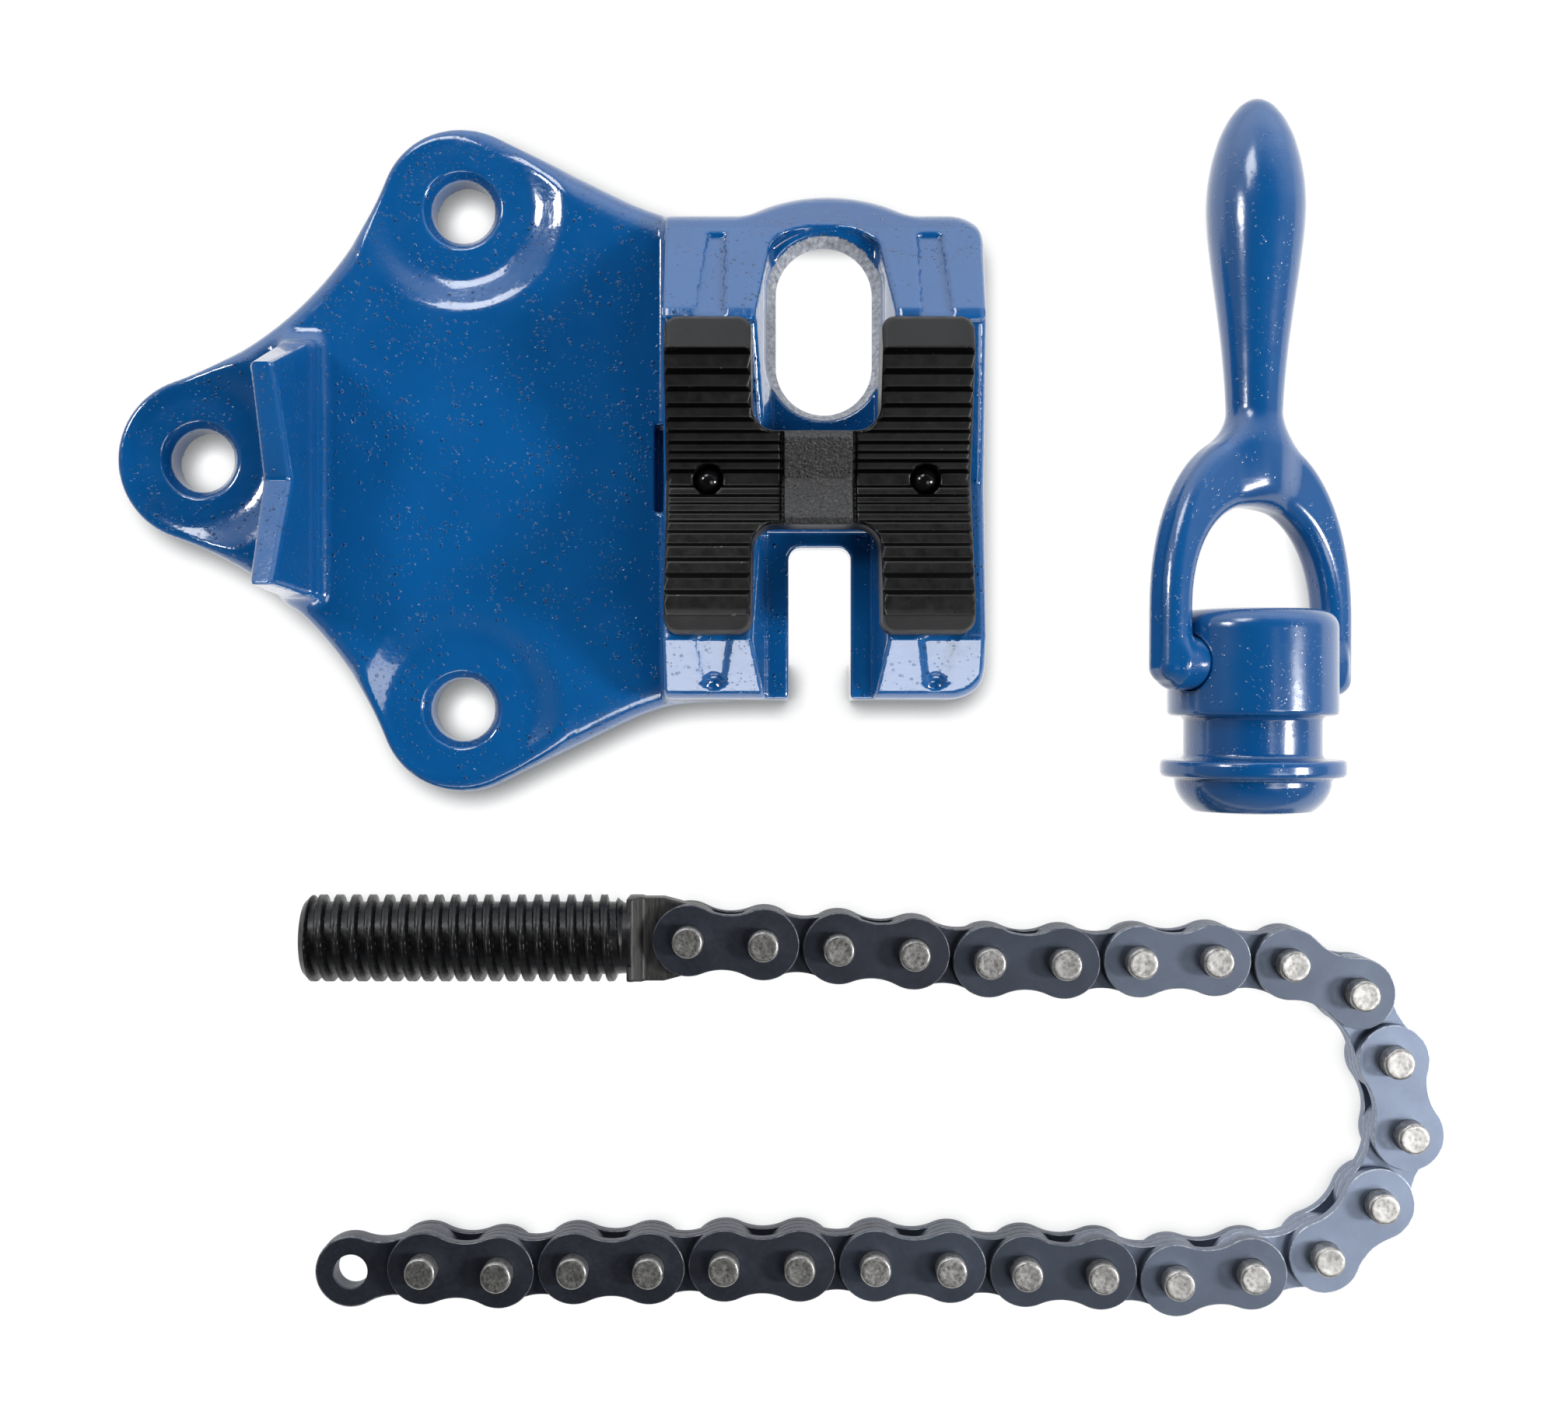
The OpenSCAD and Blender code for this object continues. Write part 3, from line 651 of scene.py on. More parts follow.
def jaw():
    def steps(teeth, crest):
        ss, zz = [0, 1.2], [VZ, VZ]
        for i in range(len(teeth) - 1, -1, -1):
            a = teeth[i]
            p = a - teeth[i + 1] if i + 1 < len(teeth) else a
            t = min(VZ + VR * a, 51.3)
            ss += [a - 0.28 * p, a - 0.12, a]
            zz += [VZ + VR * a - 0.42 * p, t - 0.12, t]
        return ss + [crest, 38.2, 40], zz + [min(VZ + VR * crest, 51.35), 46.4, 45.0]

    up_s, up_z = steps(TEETH, 29.6)
    lo_s, lo_z = steps([33.6] + [28.9, 24.7, 20.8, 17.0, 13.7, 11.0, 8.6, 6.4, 4.5, 2.2], 33.8)
    lo, hi, h = (119.9, -47.0, 25.2), (195.9, 31.0, 52.2), 0.31
    x, y, z = grid(lo, hi, h)
    s = np.abs(y - VY)
    leg = np.minimum(box2(x, y, 131.3, VY, 10.7, 38.2, 3.6), box2(x, y, 183.85, VY, 11.35, 38.2, 3.6))
    bar = box2(x, y, 157.9, VY, 37.3, 11.6, 0.5)
    H = np.maximum(rmin(leg, bar, 5.5), np.abs(x - 157.9) - 37.3)
    low = y < VY
    tooth = np.where(low, np.interp(s, lo_s, lo_z), np.interp(s, up_s, up_z)).astype(np.float32)
    plain = np.minimum(np.where(s > np.where(low, 33.8, 29.6), tooth, VZ + VR * s), 51.4)
    pad = np.abs(x - 157.9) - 8.3
    zt = np.where(pad < 0, VZ + VR * s + 0.9, tooth)
    gap = np.where((pad >= 0) & (pad < 0.9) & (s < 12), -1.0, 0.0)
    zt = zt + gap
    top = (z - zt) * 0.88
    f = np.maximum(H + 0.02 * (z - 30), top)
    # plain bands along the edges
    bev = (H + (z - plain) * 0.75) * 0.8 + 0.95
    f = np.maximum(f, bev)
    inner = (H + (z - plain) * 1.9) * 0.46 + 0.62
    f = np.maximum(f, np.where(pad < 0.5, -9, inner))
    under = (26 + 0.3 * s) - z
    f = np.maximum(f, under * 0.95)
    for cx in (131, 184):
        r = np.sqrt((x - cx) ** 2 + (y - VY) ** 2)
        f = np.maximum(f, -np.maximum(r - 3.75, 32 - z))
        f = np.maximum(f, -(r - 2.6))
    v, q, n = nets(f, lo, h)
    c = face_centres(v, q)
    fn = face_normals(v, q)
    cs = np.abs(c[:, 1] - VY)
    pm = (np.abs(c[:, 0] - 157.9) < 8.3) & (cs < 11.4) & (c[:, 2] > VZ) & (fn[:, 2] > 0.4)
    down = c[:, 1] < VY
    endf = (cs > np.where(down, 33.7, 29.6)) & (fn[:, 2] > 0.3)
    sel = pm.astype(int)
    # painted shadow on the steps from a darker copy of the black, worn crests of the teeth, and the plain sloping
    # ends, the lower ones in a much lighter copy of the black as painted light
    lev = np.where(down, np.interp(cs, lo_s, lo_z), np.interp(cs, up_s, up_z))
    onto = np.abs(c[:, 2] - lev) < 0.8
    sel[(sel == 0) & onto & (np.abs(fn[:, 1]) > 0.42) & (np.abs(fn[:, 0]) < 0.4) & (cs < 33) & (fn[:, 2] > 0.15)] = 4
    tops = np.where(down[:, None], np.array([33.6, 28.9, 24.7, 20.8, 17.0, 13.7, 11.0, 8.6, 6.4, 4.5, 2.2])[None], np.array(TEETH + [TEETH[-1]])[None])
    crest = np.min(np.abs(cs[:, None] - tops - 0.14), axis=1) < 0.2
    sel[(sel == 0) & crest & onto & (fn[:, 2] > 0.5)] = 2
    sel[((sel == 0) | (sel == 4)) & endf] = 3
    sel[(sel == 3) & down] = 5
    o = make("jaw_plate", v, q, True, (M_JAW, M_PAD, M_CREST, M_JAWEND, M_STEP_SHADE, M_JAWLOW), None, sel)
    o.data.set_sharp_from_angle(angle=math.radians(38))
    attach(o, "vise_body")
    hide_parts("jaw")


def lathe(name, prof, seg, mats, place=None, smooth=True, sharp=35):
    """prof: (radius, height) pairs, closed at the axis where radius is 0."""
    verts, faces = [], []
    rings = []
    for r, hgt in prof:
        if r < 1e-6:
            rings.append([len(verts)])
            verts.append((0, 0, hgt))
        else:
            rings.append(list(range(len(verts), len(verts) + seg)))
            for k in range(seg):
                t = 2 * math.pi * k / seg
                verts.append((r * math.cos(t), r * math.sin(t), hgt))
    for a, b in zip(rings, rings[1:]):
        for k in range(seg):
            k2 = (k + 1) % seg
            if len(a) == 1 and len(b) == 1:
                continue
            if len(a) == 1:
                faces.append((a[0], b[k2], b[k]))
            elif len(b) == 1:
                faces.append((a[k], a[k2], b[0]))
            else:
                faces.append((a[k], a[k2], b[k2], b[k]))
    v = np.array(verts)
    if place is not None:
        v = place(v)
    return v, faces


def jaw_screws():
    vs, fs = [], []
    for cx in (131, 184):
        prof = [(0, 16.5), (2.45, 16.5), (2.45, 31.8)]
        for i in range(9):
            t = math.pi / 2 * i / 8
            prof.append((3.55 * math.cos(t) + (0.0 if i < 8 else 0), 32.2 + 3.4 * math.sin(t)))
        prof[-1] = (0, 35.6)
        v, f = lathe("s", prof, 40, ())
        v = v + np.array([cx, VY, 0])
        k = sum(len(a) for a in vs)
        vs.append(v)
        fs += [tuple(i + k for i in t) for t in f]
    o = make("jaw_screw_heads", np.concatenate(vs), fs, True, (M_SCREWHEAD,))
    o.data.set_sharp_from_angle(angle=math.radians(50))
    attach(o, "vise_body")
    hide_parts("jaw_screws")


# --------------------------------------------------------------------- nut
NX, NY0, NZ = 266.7, -39.3, 22.8
ROLL, SWING, SKEW = math.radians(30), math.radians(-2.6), math.radians(3)
PIV = np.array([266.7, -52.5, 22.8])
A = np.array([math.cos(ROLL), 0, -math.sin(ROLL)])


def nut():
    cap, neck, fl = 26.3, 37.2, 41.6
    arc = [(16.2 - 0.0, 0.0)] + [(16.4 + 4.6 * math.sin(t), 4.6 - 4.6 * math.cos(t)) for t in np.linspace(0.1, math.pi / 2, 9)]
    prof = [(0, 0)] + arc + [(21, cap - 1.2), (20.7, cap - 0.4), (19.8, cap), (17.6, cap + 0.1), (17.0, cap + 0.9), (17, neck - 1.2), (17.5, neck - 0.4), (18.4, neck),
        (22.0, neck), (22.6, neck + 0.4), (22.8, neck + 1.2), (22.8, fl - 1.2), (22.4, fl - 0.4), (21.6, fl), (19.8, fl), (19.2, fl + 0.6)]
    prof += [(19.3 * math.cos(t) ** 0.9, fl + 0.6 + 11.6 * math.sin(t)) for t in np.linspace(0.12, 0.745, 9)]
    prof = [p for p in prof if p[1] <= 50.2] + [(11.9, 50.1), (11.3, 50.6), (0, 50.6)]
    prof = [(-r, t) for r, t in prof[1:-1][::-1]] + [(r, t) for r, t in prof[1:-1]]
    tab = Table(prof, (-2, -4), (27, 55), 0.12)
    lo, hi, h = (243.2, -91.0, -0.6), (290.2, -38.4, 46.2), 0.4
    x, y, z = grid(lo, hi, h)
    dx, dz = x - NX, z - NZ
    r = np.sqrt(dx * dx + dz * dz)
    t = NY0 - y
    rb, tb = np.broadcast_arrays(r, t)
    f = tab(rb, tb)
    # threaded bore
    ang = np.arctan2(dz, dx)
    ph = ((t - 4.233 * ang / (2 * math.pi)) / 4.233) % 1.0
    groove = np.clip(np.minimum(np.abs(ph - 0.5) * 4 - 0.55, 1) , 0, 1)
    bore = r - (9.3 + 1.7 * (1 - groove))
    lead = np.maximum(11.4 - np.minimum(t, 50.6 - t) * 1.2, 9.3) - r
    f = rmax(f, -np.minimum(bore, -lead), 0.4)
    # cross holes
    ax = dx * A[0] + dz * A[2]
    ay = y - PIV[1]
    az = dx * math.sin(ROLL) + dz * math.cos(ROLL)
    rr = np.sqrt(ay * ay + az * az)
    f = rmax(f, -np.maximum(rr - 6.87, 13 - np.abs(ax)), 0.45)
    v, q, n = nets(f, lo, h)
    o = make("nut", v, q, True, (M_BLUE2,), n)
    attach(o, "nut")
    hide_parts("swivel_nut")


def handle():
    def arch(a, b, p, n):
        out = []
        for i in range(n + 1):
            t = math.pi * i / n
            cx, sx = math.cos(t), math.sin(t)
            out.append((-a * abs(cx) ** p * (1 if cx > 0 else -1), 12 + b * max(sx, 0) ** p))
        return out
    outer = arch(31.2, 46, 0.93, 60)
    inner = arch(22.25, 27.5, 0.93, 60)
    ring = [(-31.1, -14)] + outer + [(31.1, -14), (22.25, -14)] + inner[::-1] + [(-22.25, -14)]
    gp = [(0, 44), (5.8, 44), (6.5, 50), (6.8, 56), (7, 62), (7.4, 70), (8.3, 80), (9.6, 90), (11, 100), (12.1, 109), (12.5, 116), (12.2, 122), (11.2, 128), (9.5, 134), (7.2, 138.8), (4.6, 142.2), (2.2, 143.9), (0, 144.2)]
    # smooth the grip's outline
    ts = np.linspace(0, 1, len(gp))
    g = np.array(gp)
    tt = np.linspace(0, 1, 90)
    rad = np.interp(tt, ts, g[:, 0])
    hgt = np.interp(tt, ts, g[:, 1])
    for _ in range(3):
        rad[1:-1] = (rad[:-2] + rad[1:-1] * 2 + rad[2:]) / 4
        hgt[1:-1] = (hgt[:-2] + hgt[1:-1] * 2 + hgt[2:]) / 4
    gp = [(-r, u) for r, u in zip(rad[::-1], hgt[::-1])] + list(zip(rad, hgt))
    tab = Table(gp, (-1, 20), (32, 150), 0.15)
    lo, hi, h = (-36, -9, -14), (36, 147, 14), 0.5
    x, y, z = grid(lo, hi, h)
    # skewed frame for fork and grip
    cs, sn = math.cos(SKEW), math.sin(SKEW)
    xs = x * cs - y * sn
    ys = x * sn + y * cs
    d2 = poly2(xs, ys, ring)
    f = rmax(rmax(d2, -6.6 - ys, 4.2), np.abs(z) - 5.4, 4.2)
    rr = np.sqrt(xs * xs + z * z)
    rb, yb = np.broadcast_arrays(rr, ys)
    f = rmin(f, tab(rb, yb), 7.0)
    # turned-in ends
    rp = np.sqrt(y * y + z * z)
    ends = rmax(rp - 6.72, np.maximum(np.abs(x) - 27.4, 13.7 - np.abs(x)), 1.6)
    f = rmin(f, ends, 1.6)
    v, q, n = nets(f, lo, h)
    cr, sr = math.cos(ROLL), math.sin(ROLL)
    Rx = np.array([[1, 0, 0], [0, math.cos(SWING), -math.sin(SWING)], [0, math.sin(SWING), math.cos(SWING)]])
    Ry = np.array([[cr, 0, sr], [0, 1, 0], [-sr, 0, cr]])
    T = Ry @ Rx
    v = v @ T.T + PIV
    n = n @ T.T
    o = make("handle_bail", v, q, True, (M_BLUE2,), n)
    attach(o, "handle")
    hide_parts("handle")


# ------------------------------------------------------------------- screw
START = np.array([125.3, -122.4])
MID = 11.7


def screw():
    p, x0 = 4.233, 27.4
    L = 82.6
    nt = 120
    xs = np.arange(0, L + 0.01, 0.14)
    th = np.arange(nt) * 2 * math.pi / nt
    X, T = np.meshgrid(xs, th, indexing="ij")
    ph = ((X - p * T / (2 * math.pi)) / p) % 1.0
    # flat crest, steep flanks, rounded root
    d = np.abs(ph - 0.5) * 2
    rad = 9.25 + 1.83 * np.clip((d - 0.38) / 0.24, 0, 1) ** 0.9
    rad = rad - 0.12 * np.clip((d - 0.9) / 0.1, 0, 1)
    chamf = 9.4 + X * 1.05
    rad = np.minimum(rad, np.where(X < 3, np.maximum(chamf, 9.3), 99))
    rad = np.where(X < 1.7, np.minimum(np.maximum(rad, np.minimum(chamf, 10.9)), chamf), rad)
    run = np.clip((L - 1.4 - X) / 2.6, 0, 1)
    rad = 9.0 + (rad - 9.0) * run
    verts = np.stack([X + x0, START[1] + rad * np.cos(T), MID + rad * np.sin(T)], -1).reshape(-1, 3)
    faces = []
    m = len(xs)
    i = np.arange(m - 1)[:, None] * nt
    k = np.arange(nt)[None, :]
    k2 = (k + 1) % nt
    q = np.stack([i + k, i + k2, i + nt + k2, i + nt + k], -1).reshape(-1, 4)[:, ::-1]
    faces = q.tolist()
    # end faces with a small centre and a short neck to the tongue
    a = len(verts)
    ring0 = [(x0 + 0.15, START[1] + 7.5 * math.cos(t), MID + 7.5 * math.sin(t)) for t in th]
    c0 = [(x0 + 0.15, START[1], MID)]
    e = len(verts) + nt + 1
    ring1 = [(110.8, START[1] + 9.0 * math.cos(t), MID + 9.0 * math.sin(t)) for t in th]
    c1 = [(110.8, START[1], MID)]
    verts = np.concatenate([verts, ring0, c0, ring1, c1])
    last = (m - 1) * nt
    for k in range(nt):
        k2 = (k + 1) % nt
        faces.append((k, a + k, a + k2, k2))
        faces.append((a + k, a + nt, a + k2))
        faces.append((last + k, last + k2, e + k2, e + k)[::-1][::-1])
        faces.append((e + k, e + k2, e + nt))
    o = make("screw_thread", verts, faces, True, (M_OX,))
    bm = bmesh.new()
    bm.from_mesh(o.data)
    bmesh.ops.recalc_face_normals(bm, faces=bm.faces)
    bm.to_mesh(o.data)
    bm.free()
    o.data.set_sharp_from_angle(angle=math.radians(42))
    # tongue
    lo, hi, h = (108.6, -134, 4.6), (135.4, -110.8, 18.8), 0.33
    x, y, z = grid(lo, hi, h)
    dy = np.abs(y - START[1])
    flat = poly2(x, y, [(110.6, START[1] - 10.6), (118.9, START[1] - 10.6), (124.7, START[1] - 9.03), (124.7, START[1] + 9.03), (118.9, START[1] + 10.6), (110.6, START[1] + 10.6)])
    flat = np.minimum(flat, np.sqrt((x - START[0]) ** 2 + (y - START[1]) ** 2) - 9.03)
    f = rmax(flat, np.abs(z - MID) - 3.22, 0.3)
    root = rmax(box2(x, y, 111.5, START[1], 1.9, 10.6, 0.3), np.abs(z - MID) - (5.95 - 0.9 * np.clip(x - 111, 0, 3)), 0.4)
    f = rmin(f, root, 0.9)
    f = np.maximum(f, -(np.sqrt((x - START[0]) ** 2 + (y - START[1]) ** 2) - 4.0))
    v, q, n = nets(f, lo, h)
    t = make("screw_tongue", v, q, True, (M_MILL,), None)
    t.data.set_sharp_from_angle(angle=math.radians(40))
    for ob in (o, t):
        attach(ob, "screw")
    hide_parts("screw")


# ------------------------------------------------------------------- chain
PITCH, PLR, PT, PR = 19.05, 9.05, 3.25, 3.95
HEADS = [-3, -3, -4, -6, -1, 1, 1, -3, -23, -63, -79, -113, -136, -167, -175, -185, -182, -183, -181, -180, -180, -178, -180, -177, -183, -175]
PINS = [START]
for hd in HEADS:
    PINS.append(PINS[-1] + PITCH * np.array([math.cos(math.radians(hd)), math.sin(math.radians(hd))]))


def link_outline():
    """Points and outward normals round a plate, first pin at 0, second at PITCH."""
    c, q = 20.55, 13.6
    th0 = math.atan2(math.sqrt(c * c + (PITCH / 2) ** 2) and c, PITCH / 2)
    pts, nor = [], []
    # right end, then top waist, left end, bottom waist
    for t in np.linspace(-(math.pi - th0), math.pi - th0, 33):
        pts.append((PITCH + PLR * math.cos(t), PLR * math.sin(t)))
        nor.append((math.cos(t), math.sin(t)))
    a = math.atan2(-c, PITCH / 2)
    for t in np.linspace(a, -math.pi - a, 17)[1:-1]:
        pts.append((PITCH / 2 + q * math.cos(t), c + q * math.sin(t)))
        nor.append((-math.cos(t), -math.sin(t)))
    for t in np.linspace(th0, 2 * math.pi - th0, 33):
        pts.append((PLR * math.cos(t), PLR * math.sin(t)))
        nor.append((math.cos(t), math.sin(t)))
    for t in np.linspace(math.pi + a, -a, 17)[1:-1]:
        pts.append((PITCH / 2 + q * math.cos(t), -c + q * math.sin(t)))
        nor.append((-math.cos(t), -math.sin(t)))
    return np.array(pts), np.array(nor)


OUT_P, OUT_N = link_outline()


def cap_mesh(outer, holes):
    """Triangles filling an outline with holes, as indices into outer + holes."""
    loops = [outer] + holes
    pts, edges = [], []
    for lp in loops:
        k = len(pts)
        pts += [tuple(p) for p in lp]
        edges += [(k + i, k + (i + 1) % len(lp)) for i in range(len(lp))]
    v, e, f, ov, oe, of = geometry.delaunay_2d_cdt([Vector(p) for p in pts], edges, [], 0, 1e-7)
    idx = [o[0] if o else -1 for o in ov]
    out = []
    P = np.array([tuple(p) for p in v])
    for t in f:
        c = P[list(t)].mean(0)
        if not in_poly(c, outer):
            continue
        if any(in_poly(c, h) for h in holes):
            continue
        out.append([idx[i] for i in t])
    return out


def in_poly(p, poly):
    x, y = p
    a = np.asarray(poly)
    b = np.roll(a, -1, 0)
    c = (a[:, 1] > y) != (b[:, 1] > y)
    with np.errstate(divide="ignore", invalid="ignore"):
        xx = (b[:, 0] - a[:, 0]) * (y - a[:, 1]) / (b[:, 1] - a[:, 1]) + a[:, 0]
    return bool((c & (x < xx)).sum() % 2)


def plate_mesh(z0, z1, holes, bev=0.26, hb=0.15):
    """One punched plate: rounded outer edges, small chamfer at the holes."""
    steps = [(bev, 0.0), (bev * 0.62, 0.06), (bev * 0.28, 0.22), (bev * 0.06, 0.5 * bev + 0.1), (0.0, bev + 0.1)]
    rings = [(i, z0 + z) for i, z in steps] + [(i, z1 - z) for i, z in steps[::-1]]
    n = len(OUT_P)
    verts, faces = [], []
    for inset, z in rings:
        p = OUT_P - OUT_N * inset
        verts += [(a, b, z) for a, b in p]
    for k in range(len(rings) - 1):
        for i in range(n):
            j = (i + 1) % n
            faces.append((k * n + i, k * n + j, (k + 1) * n + j, (k + 1) * n + i))
    hs = 40
    hrings = []
    for cx, r in holes:
        ids = []
        for dr, z in ((hb, z0), (0, z0 + hb), (0, z1 - hb), (hb, z1)):
            k = len(verts)
            ids.append(k)
            verts += [(cx + (r + dr) * math.cos(2 * math.pi * i / hs), (r + dr) * math.sin(2 * math.pi * i / hs), z) for i in range(hs)]
        for a, b in zip(ids, ids[1:]):
            for i in range(hs):
                j = (i + 1) % hs
                faces.append((a + j, a + i, b + i, b + j))
        hrings.append(ids)
    V = np.array(verts)
    outer = V[:n, :2]
    hl = [V[h[0]:h[0] + hs, :2] for h in hrings]
    tri = cap_mesh(outer, hl)
    bot = list(range(n)) + [h[0] + i for h in hrings for i in range(hs)]
    top = [(len(rings) - 1) * n + i for i in range(n)] + [h[3] + i for h in hrings for i in range(hs)]
    for t in tri:
        p = V[[bot[i] for i in t], :2]
        ccw = (p[1][0] - p[0][0]) * (p[2][1] - p[0][1]) - (p[1][1] - p[0][1]) * (p[2][0] - p[0][0]) > 0
        t = t if ccw else t[::-1]
        faces.append(tuple(top[i] for i in t))
        faces.append(tuple(bot[i] for i in t[::-1]))
    return V, faces


def pin_mesh(cx, z1=23.4, flat=None, tilt=(0, 0)):
    seg = 44
    prof = [(0, 0.0), (3.1, 0.0), (3.45, 0.06), (3.85, 0.5), (3.95, 0.9), (3.95, z1 - 0.85), (3.88, z1 - 0.45), (3.55, z1 - 0.06), (3.25, z1), (2.6, z1 - 0.03), (1.3, z1 - 0.07), (0, z1 - 0.08)]
    v, f = lathe("p", prof, seg, ())
    v[:, 0] += cx
    return v, f


def place_link(v, i):
    a = math.radians(HEADS[i])
    c, s = math.cos(a), math.sin(a)
    out = v.copy()
    out[:, 0] = PINS[i][0] + v[:, 0] * c - v[:, 1] * s
    out[:, 1] = PINS[i][1] + v[:, 0] * s + v[:, 1] * c
    return out


def join(parts):
    vs, fs, k = [], [], 0
    for v, f in parts:
        vs.append(v)
        fs += [tuple(i + k for i in t) for t in f]
        k += len(v)
    return np.concatenate(vs), fs


def chain():
    outz, inz = 2 * PT + 0.1, PT + 0.05
    op = join([plate_mesh(MID - outz, MID - outz + PT, [(0, PR + 0.02), (PITCH, PR + 0.02)]), plate_mesh(MID + outz - PT, MID + outz, [(0, PR + 0.02), (PITCH, PR + 0.02)])])
    ip = join([plate_mesh(MID - inz, MID - inz + PT, [(0, PR + 0.05), (PITCH, PR + 0.05)]), plate_mesh(MID + inz - PT, MID + inz, [(0, PR + 0.05), (PITCH, PR + 0.05)])])
    pp = join([pin_mesh(0), pin_mesh(PITCH)])

    # faces of the top bevel, which get the painted highlight
    def painted_highlight_band(geo):
        sel = np.zeros(len(geo[1]), int)
        sel[6 * len(OUT_P):9 * len(OUT_P)] = 1
        return sel

    two = np.tile(painted_highlight_band((None, op[1][:len(op[1]) // 2])), 2)

    # painted light: plates further right get lighter, bluer copies of the blued material
    def tone(i):
        x, y = PINS[i]
        t = (x - 120) / 180
        return M_PLATE[int(np.clip(round(4 * t), 0, 4))]

    def put(name, geo, i, body, mat, node, sharp, rim=None):
        o = make(name, place_link(geo[0], i), geo[1], True, mat, None, rim)
        o.data.set_sharp_from_angle(angle=math.radians(sharp))
        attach(o, body)
        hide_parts(node)

    for n in range(1, 14):
        body = "outer_%02d" % n
        put("plates_outer_%02d" % n, op, 2 * n - 2, body, tone(2 * n - 2), "outer_link_%02d" % n, 13, two)
        # each pin pair takes the painted shade copy for its place along the chain
        put("pins_%02d" % n, pp, 2 * n - 2, body, (M_PIN[int(np.clip(round((PINS[2 * n - 2][0] - 130) / 70), 0, 2))],), "link_pins_%02d" % n, 50)
        if n < 13:
            put("plates_inner_%02d" % n, ip, 2 * n - 1, "inner_%02d" % n, tone(2 * n - 1), "inner_link_%02d" % n, 13, two)
    ep = plate_mesh(MID - PT, MID + PT, [(0, PR + 0.05), (PITCH, 4.25)], bev=0.5, hb=0.3)
    put("plate_end", ep, 25, "end", M_PLATE[0], "end_link", 13, painted_highlight_band(ep))


base_casting()
jaw()
jaw_screws()
nut()
handle()
screw()
chain()

# ------------------------------------------------------------ floor, light
fm = Mat("floor")
fm.set(Base_Color=(0, 0, 0, 1), Roughness=1.0, Specular_IOR_Level=0.0, Emission_Strength=1.0)
# The floor only glows: its contact shadows are painted shadow, from an AO node tilted up and to the left so they
# fall darkest at the lower right.
contact_shadow_ao = fm.node("ShaderNodeAmbientOcclusion", samples=8)
contact_shadow_ao.inputs["Distance"].default_value = 0.0062
tilt = fm.node("ShaderNodeCombineXYZ")
for i, v in enumerate((-0.3, 0.42, 1.0)):
    tilt.inputs[i].default_value = v
fm.link(tilt.outputs[0], contact_shadow_ao.inputs["Normal"])
fm.link(fm.ramp(contact_shadow_ao.outputs["AO"], [(0.25, (0.2, 0.205, 0.21)), (0.5, (0.38, 0.39, 0.4)), (0.75, (0.76, 0.77, 0.78)), (0.92, (1.02, 1.02, 1.02))]), fm.b.inputs["Emission Color"])
floor = make("floor", [(-4000, -4000, -0.05), (4000, -4000, -0.05), (4000, 4000, -0.05), (-4000, 4000, -0.05)], [(0, 1, 2, 3)], False, (fm.m,))

# a studio round the table: dark overhead, bright towards the far and near sides
world = bpy.data.worlds.new("world")
bpy.context.scene.world = world
world.use_nodes = True
wt = world.node_tree
bg = wt.nodes["Background"]
wc = wt.nodes.new("ShaderNodeTexCoord")
ws = wt.nodes.new("ShaderNodeSeparateXYZ")
wt.links.new(wc.outputs["Generated"], ws.inputs[0])


def world_ramp(sock, stops, shift):
    m = wt.nodes.new("ShaderNodeMath")
    m.operation = "MULTIPLY_ADD"
    m.inputs[1].default_value, m.inputs[2].default_value = shift
    wt.links.new(sock, m.inputs[0])
    n = wt.nodes.new("ShaderNodeValToRGB")
    n.color_ramp.interpolation = "EASE"
    while len(n.color_ramp.elements) < len(stops):
        n.color_ramp.elements.new(0.5)
    for e, (p, v) in zip(n.color_ramp.elements, stops):
        e.position = p
        e.color = (v, v, v, 1)
    wt.links.new(m.outputs[0], n.inputs[0])
    return n.outputs[0]


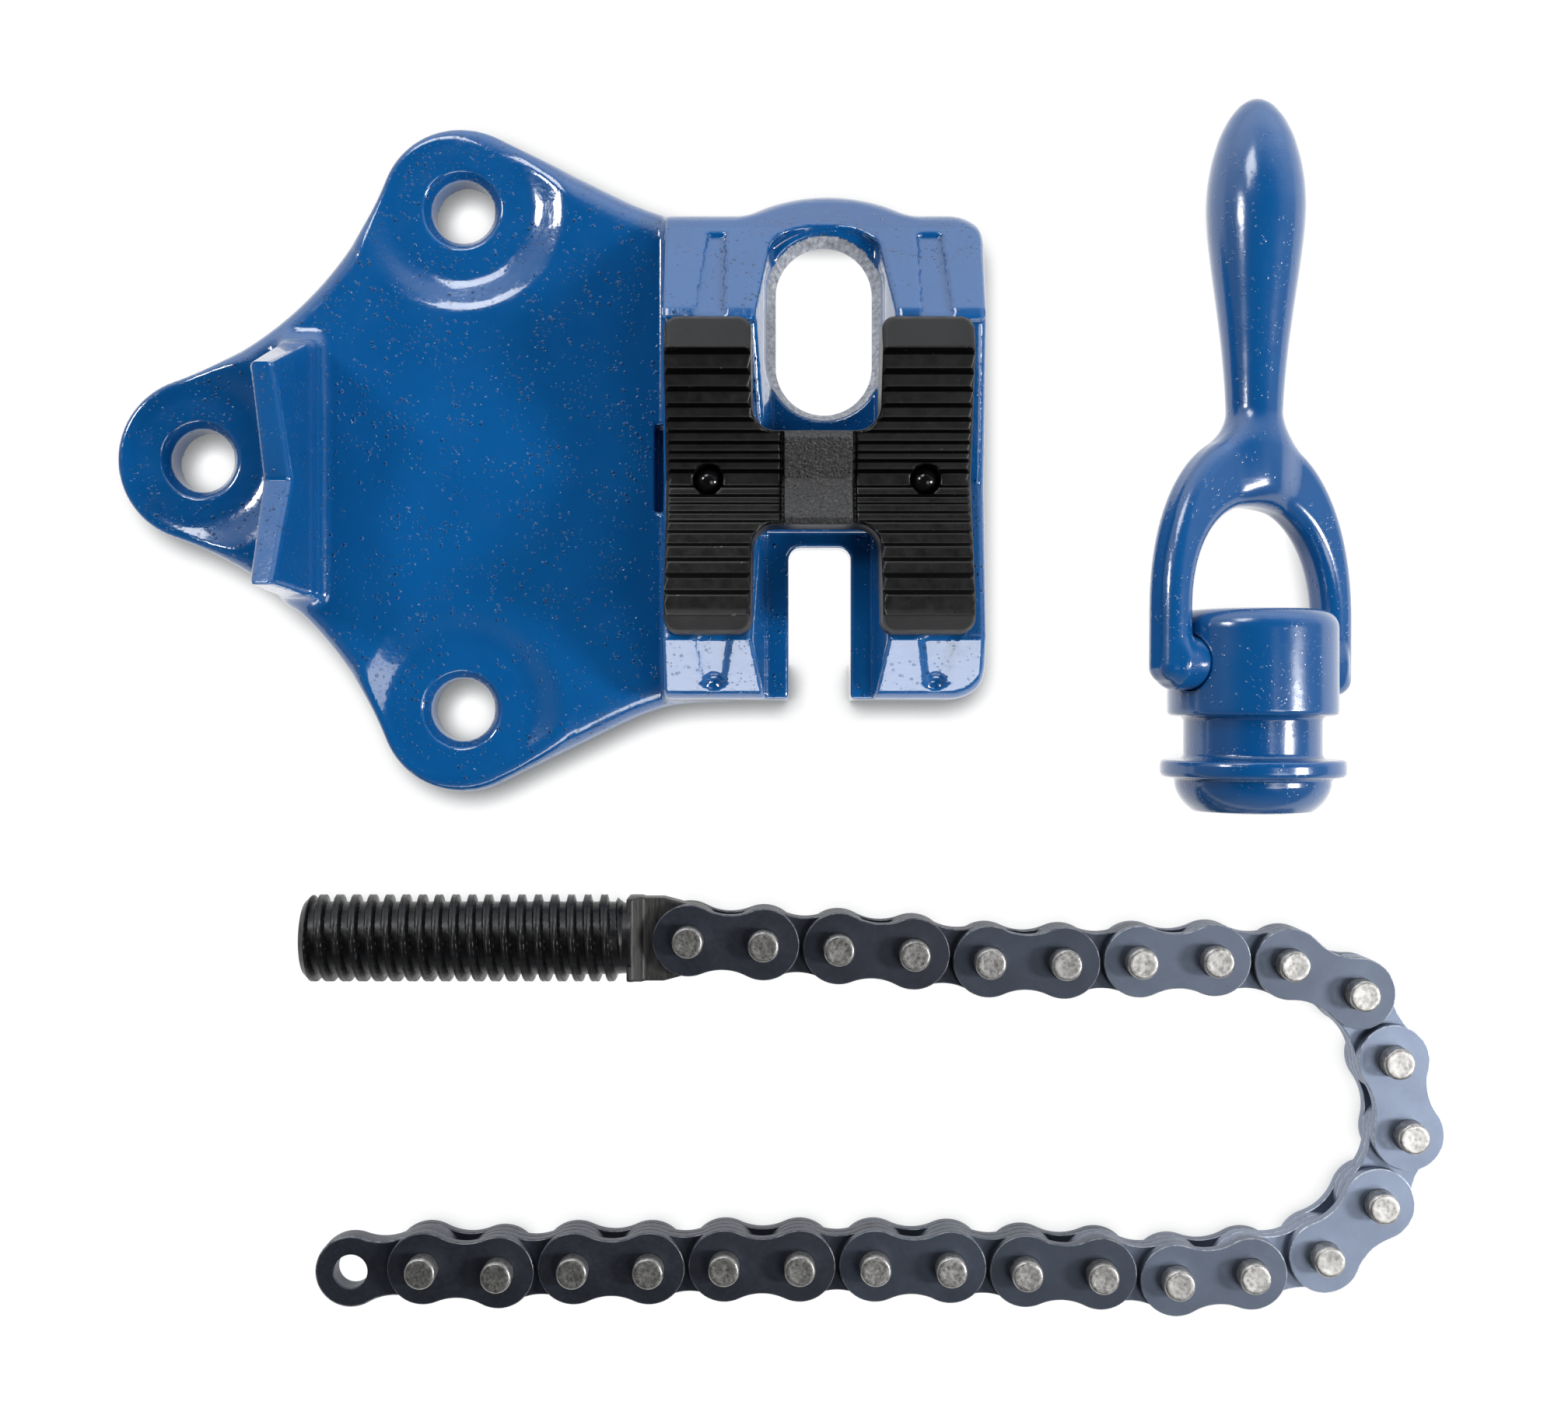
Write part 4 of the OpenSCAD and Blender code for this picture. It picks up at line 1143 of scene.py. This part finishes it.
up = world_ramp(ws.outputs[2], [(0.0, 0.9), (0.31, 0.9), (0.6, 0.6), (0.8, 0.1), (0.92, 0.015)], (1, 0))
far = world_ramp(ws.outputs[1], [(0.0, 0.15), (0.12, 0.08), (0.5, 0.085), (0.75, 0.3), (0.9, 0.52), (1.0, 0.52)], (0.5, 0.5))
wm = wt.nodes.new("ShaderNodeMath")
wm.operation = "MULTIPLY"
wt.links.new(up, wm.inputs[0])
wt.links.new(far, wm.inputs[1])
wk = wt.nodes.new("ShaderNodeMath")
wk.operation = "MULTIPLY"
wk.inputs[1].default_value = 3.0
wt.links.new(wm.outputs[0], wk.inputs[0])
bg.inputs[0].default_value = (0.94, 0.97, 1.0, 1)
wt.links.new(wk.outputs[0], bg.inputs[1])


def area(name, loc, aim, size, glow, color=(1, 1, 1)):
    """A rectangle of light; glow is its brightness next to a white floor of 1."""
    d = bpy.data.lights.new(name, "AREA")
    d.shape = "RECTANGLE"
    d.size, d.size_y = size
    d.energy = glow * math.pi * size[0] * size[1]
    d.color = color
    o = bpy.data.objects.new(name, d)
    bpy.context.scene.collection.objects.link(o)
    o.location = loc
    o.rotation_euler = (Vector(aim) - Vector(loc)).to_track_quat("-Z", "Y").to_euler()
    return o


C = (0.15, -0.06, 0.0)
area("lamp_right", (1.15, -0.2, 0.8), C, (0.2, 0.26), 68)
area("lamp_left", (-0.75, 0.4, 0.95), C, (0.2, 0.26), 32)
area("key", (-0.25, 0.95, 1.05), C, (0.5, 0.4), 8)
area("over_right", (0.85, -0.44, 1.5), (0.28, -0.17, 0), (0.55, 0.6), 3.8)
near_side = area("near_side", (0.16, -0.75, 0.14), (0.16, -0.05, 0.03), (0.7, 0.25), 5.5)
lit = bpy.data.collections.new("near_side_lit")
lit.objects.link(bpy.data.objects["casting"])
near_side.light_linking.receiver_collection = lit
# the left lamp reaches the blue pieces and the screw, not the chain behind them
left_lit = bpy.data.collections.new("lamp_left_lit")
for n in ("casting", "jaw_plate", "jaw_screw_heads", "nut", "handle_bail", "screw_thread", "screw_tongue"):
    left_lit.objects.link(bpy.data.objects[n])
bpy.data.objects["lamp_left"].light_linking.receiver_collection = left_lit

bpy.context.scene.view_settings.view_transform = "Standard"
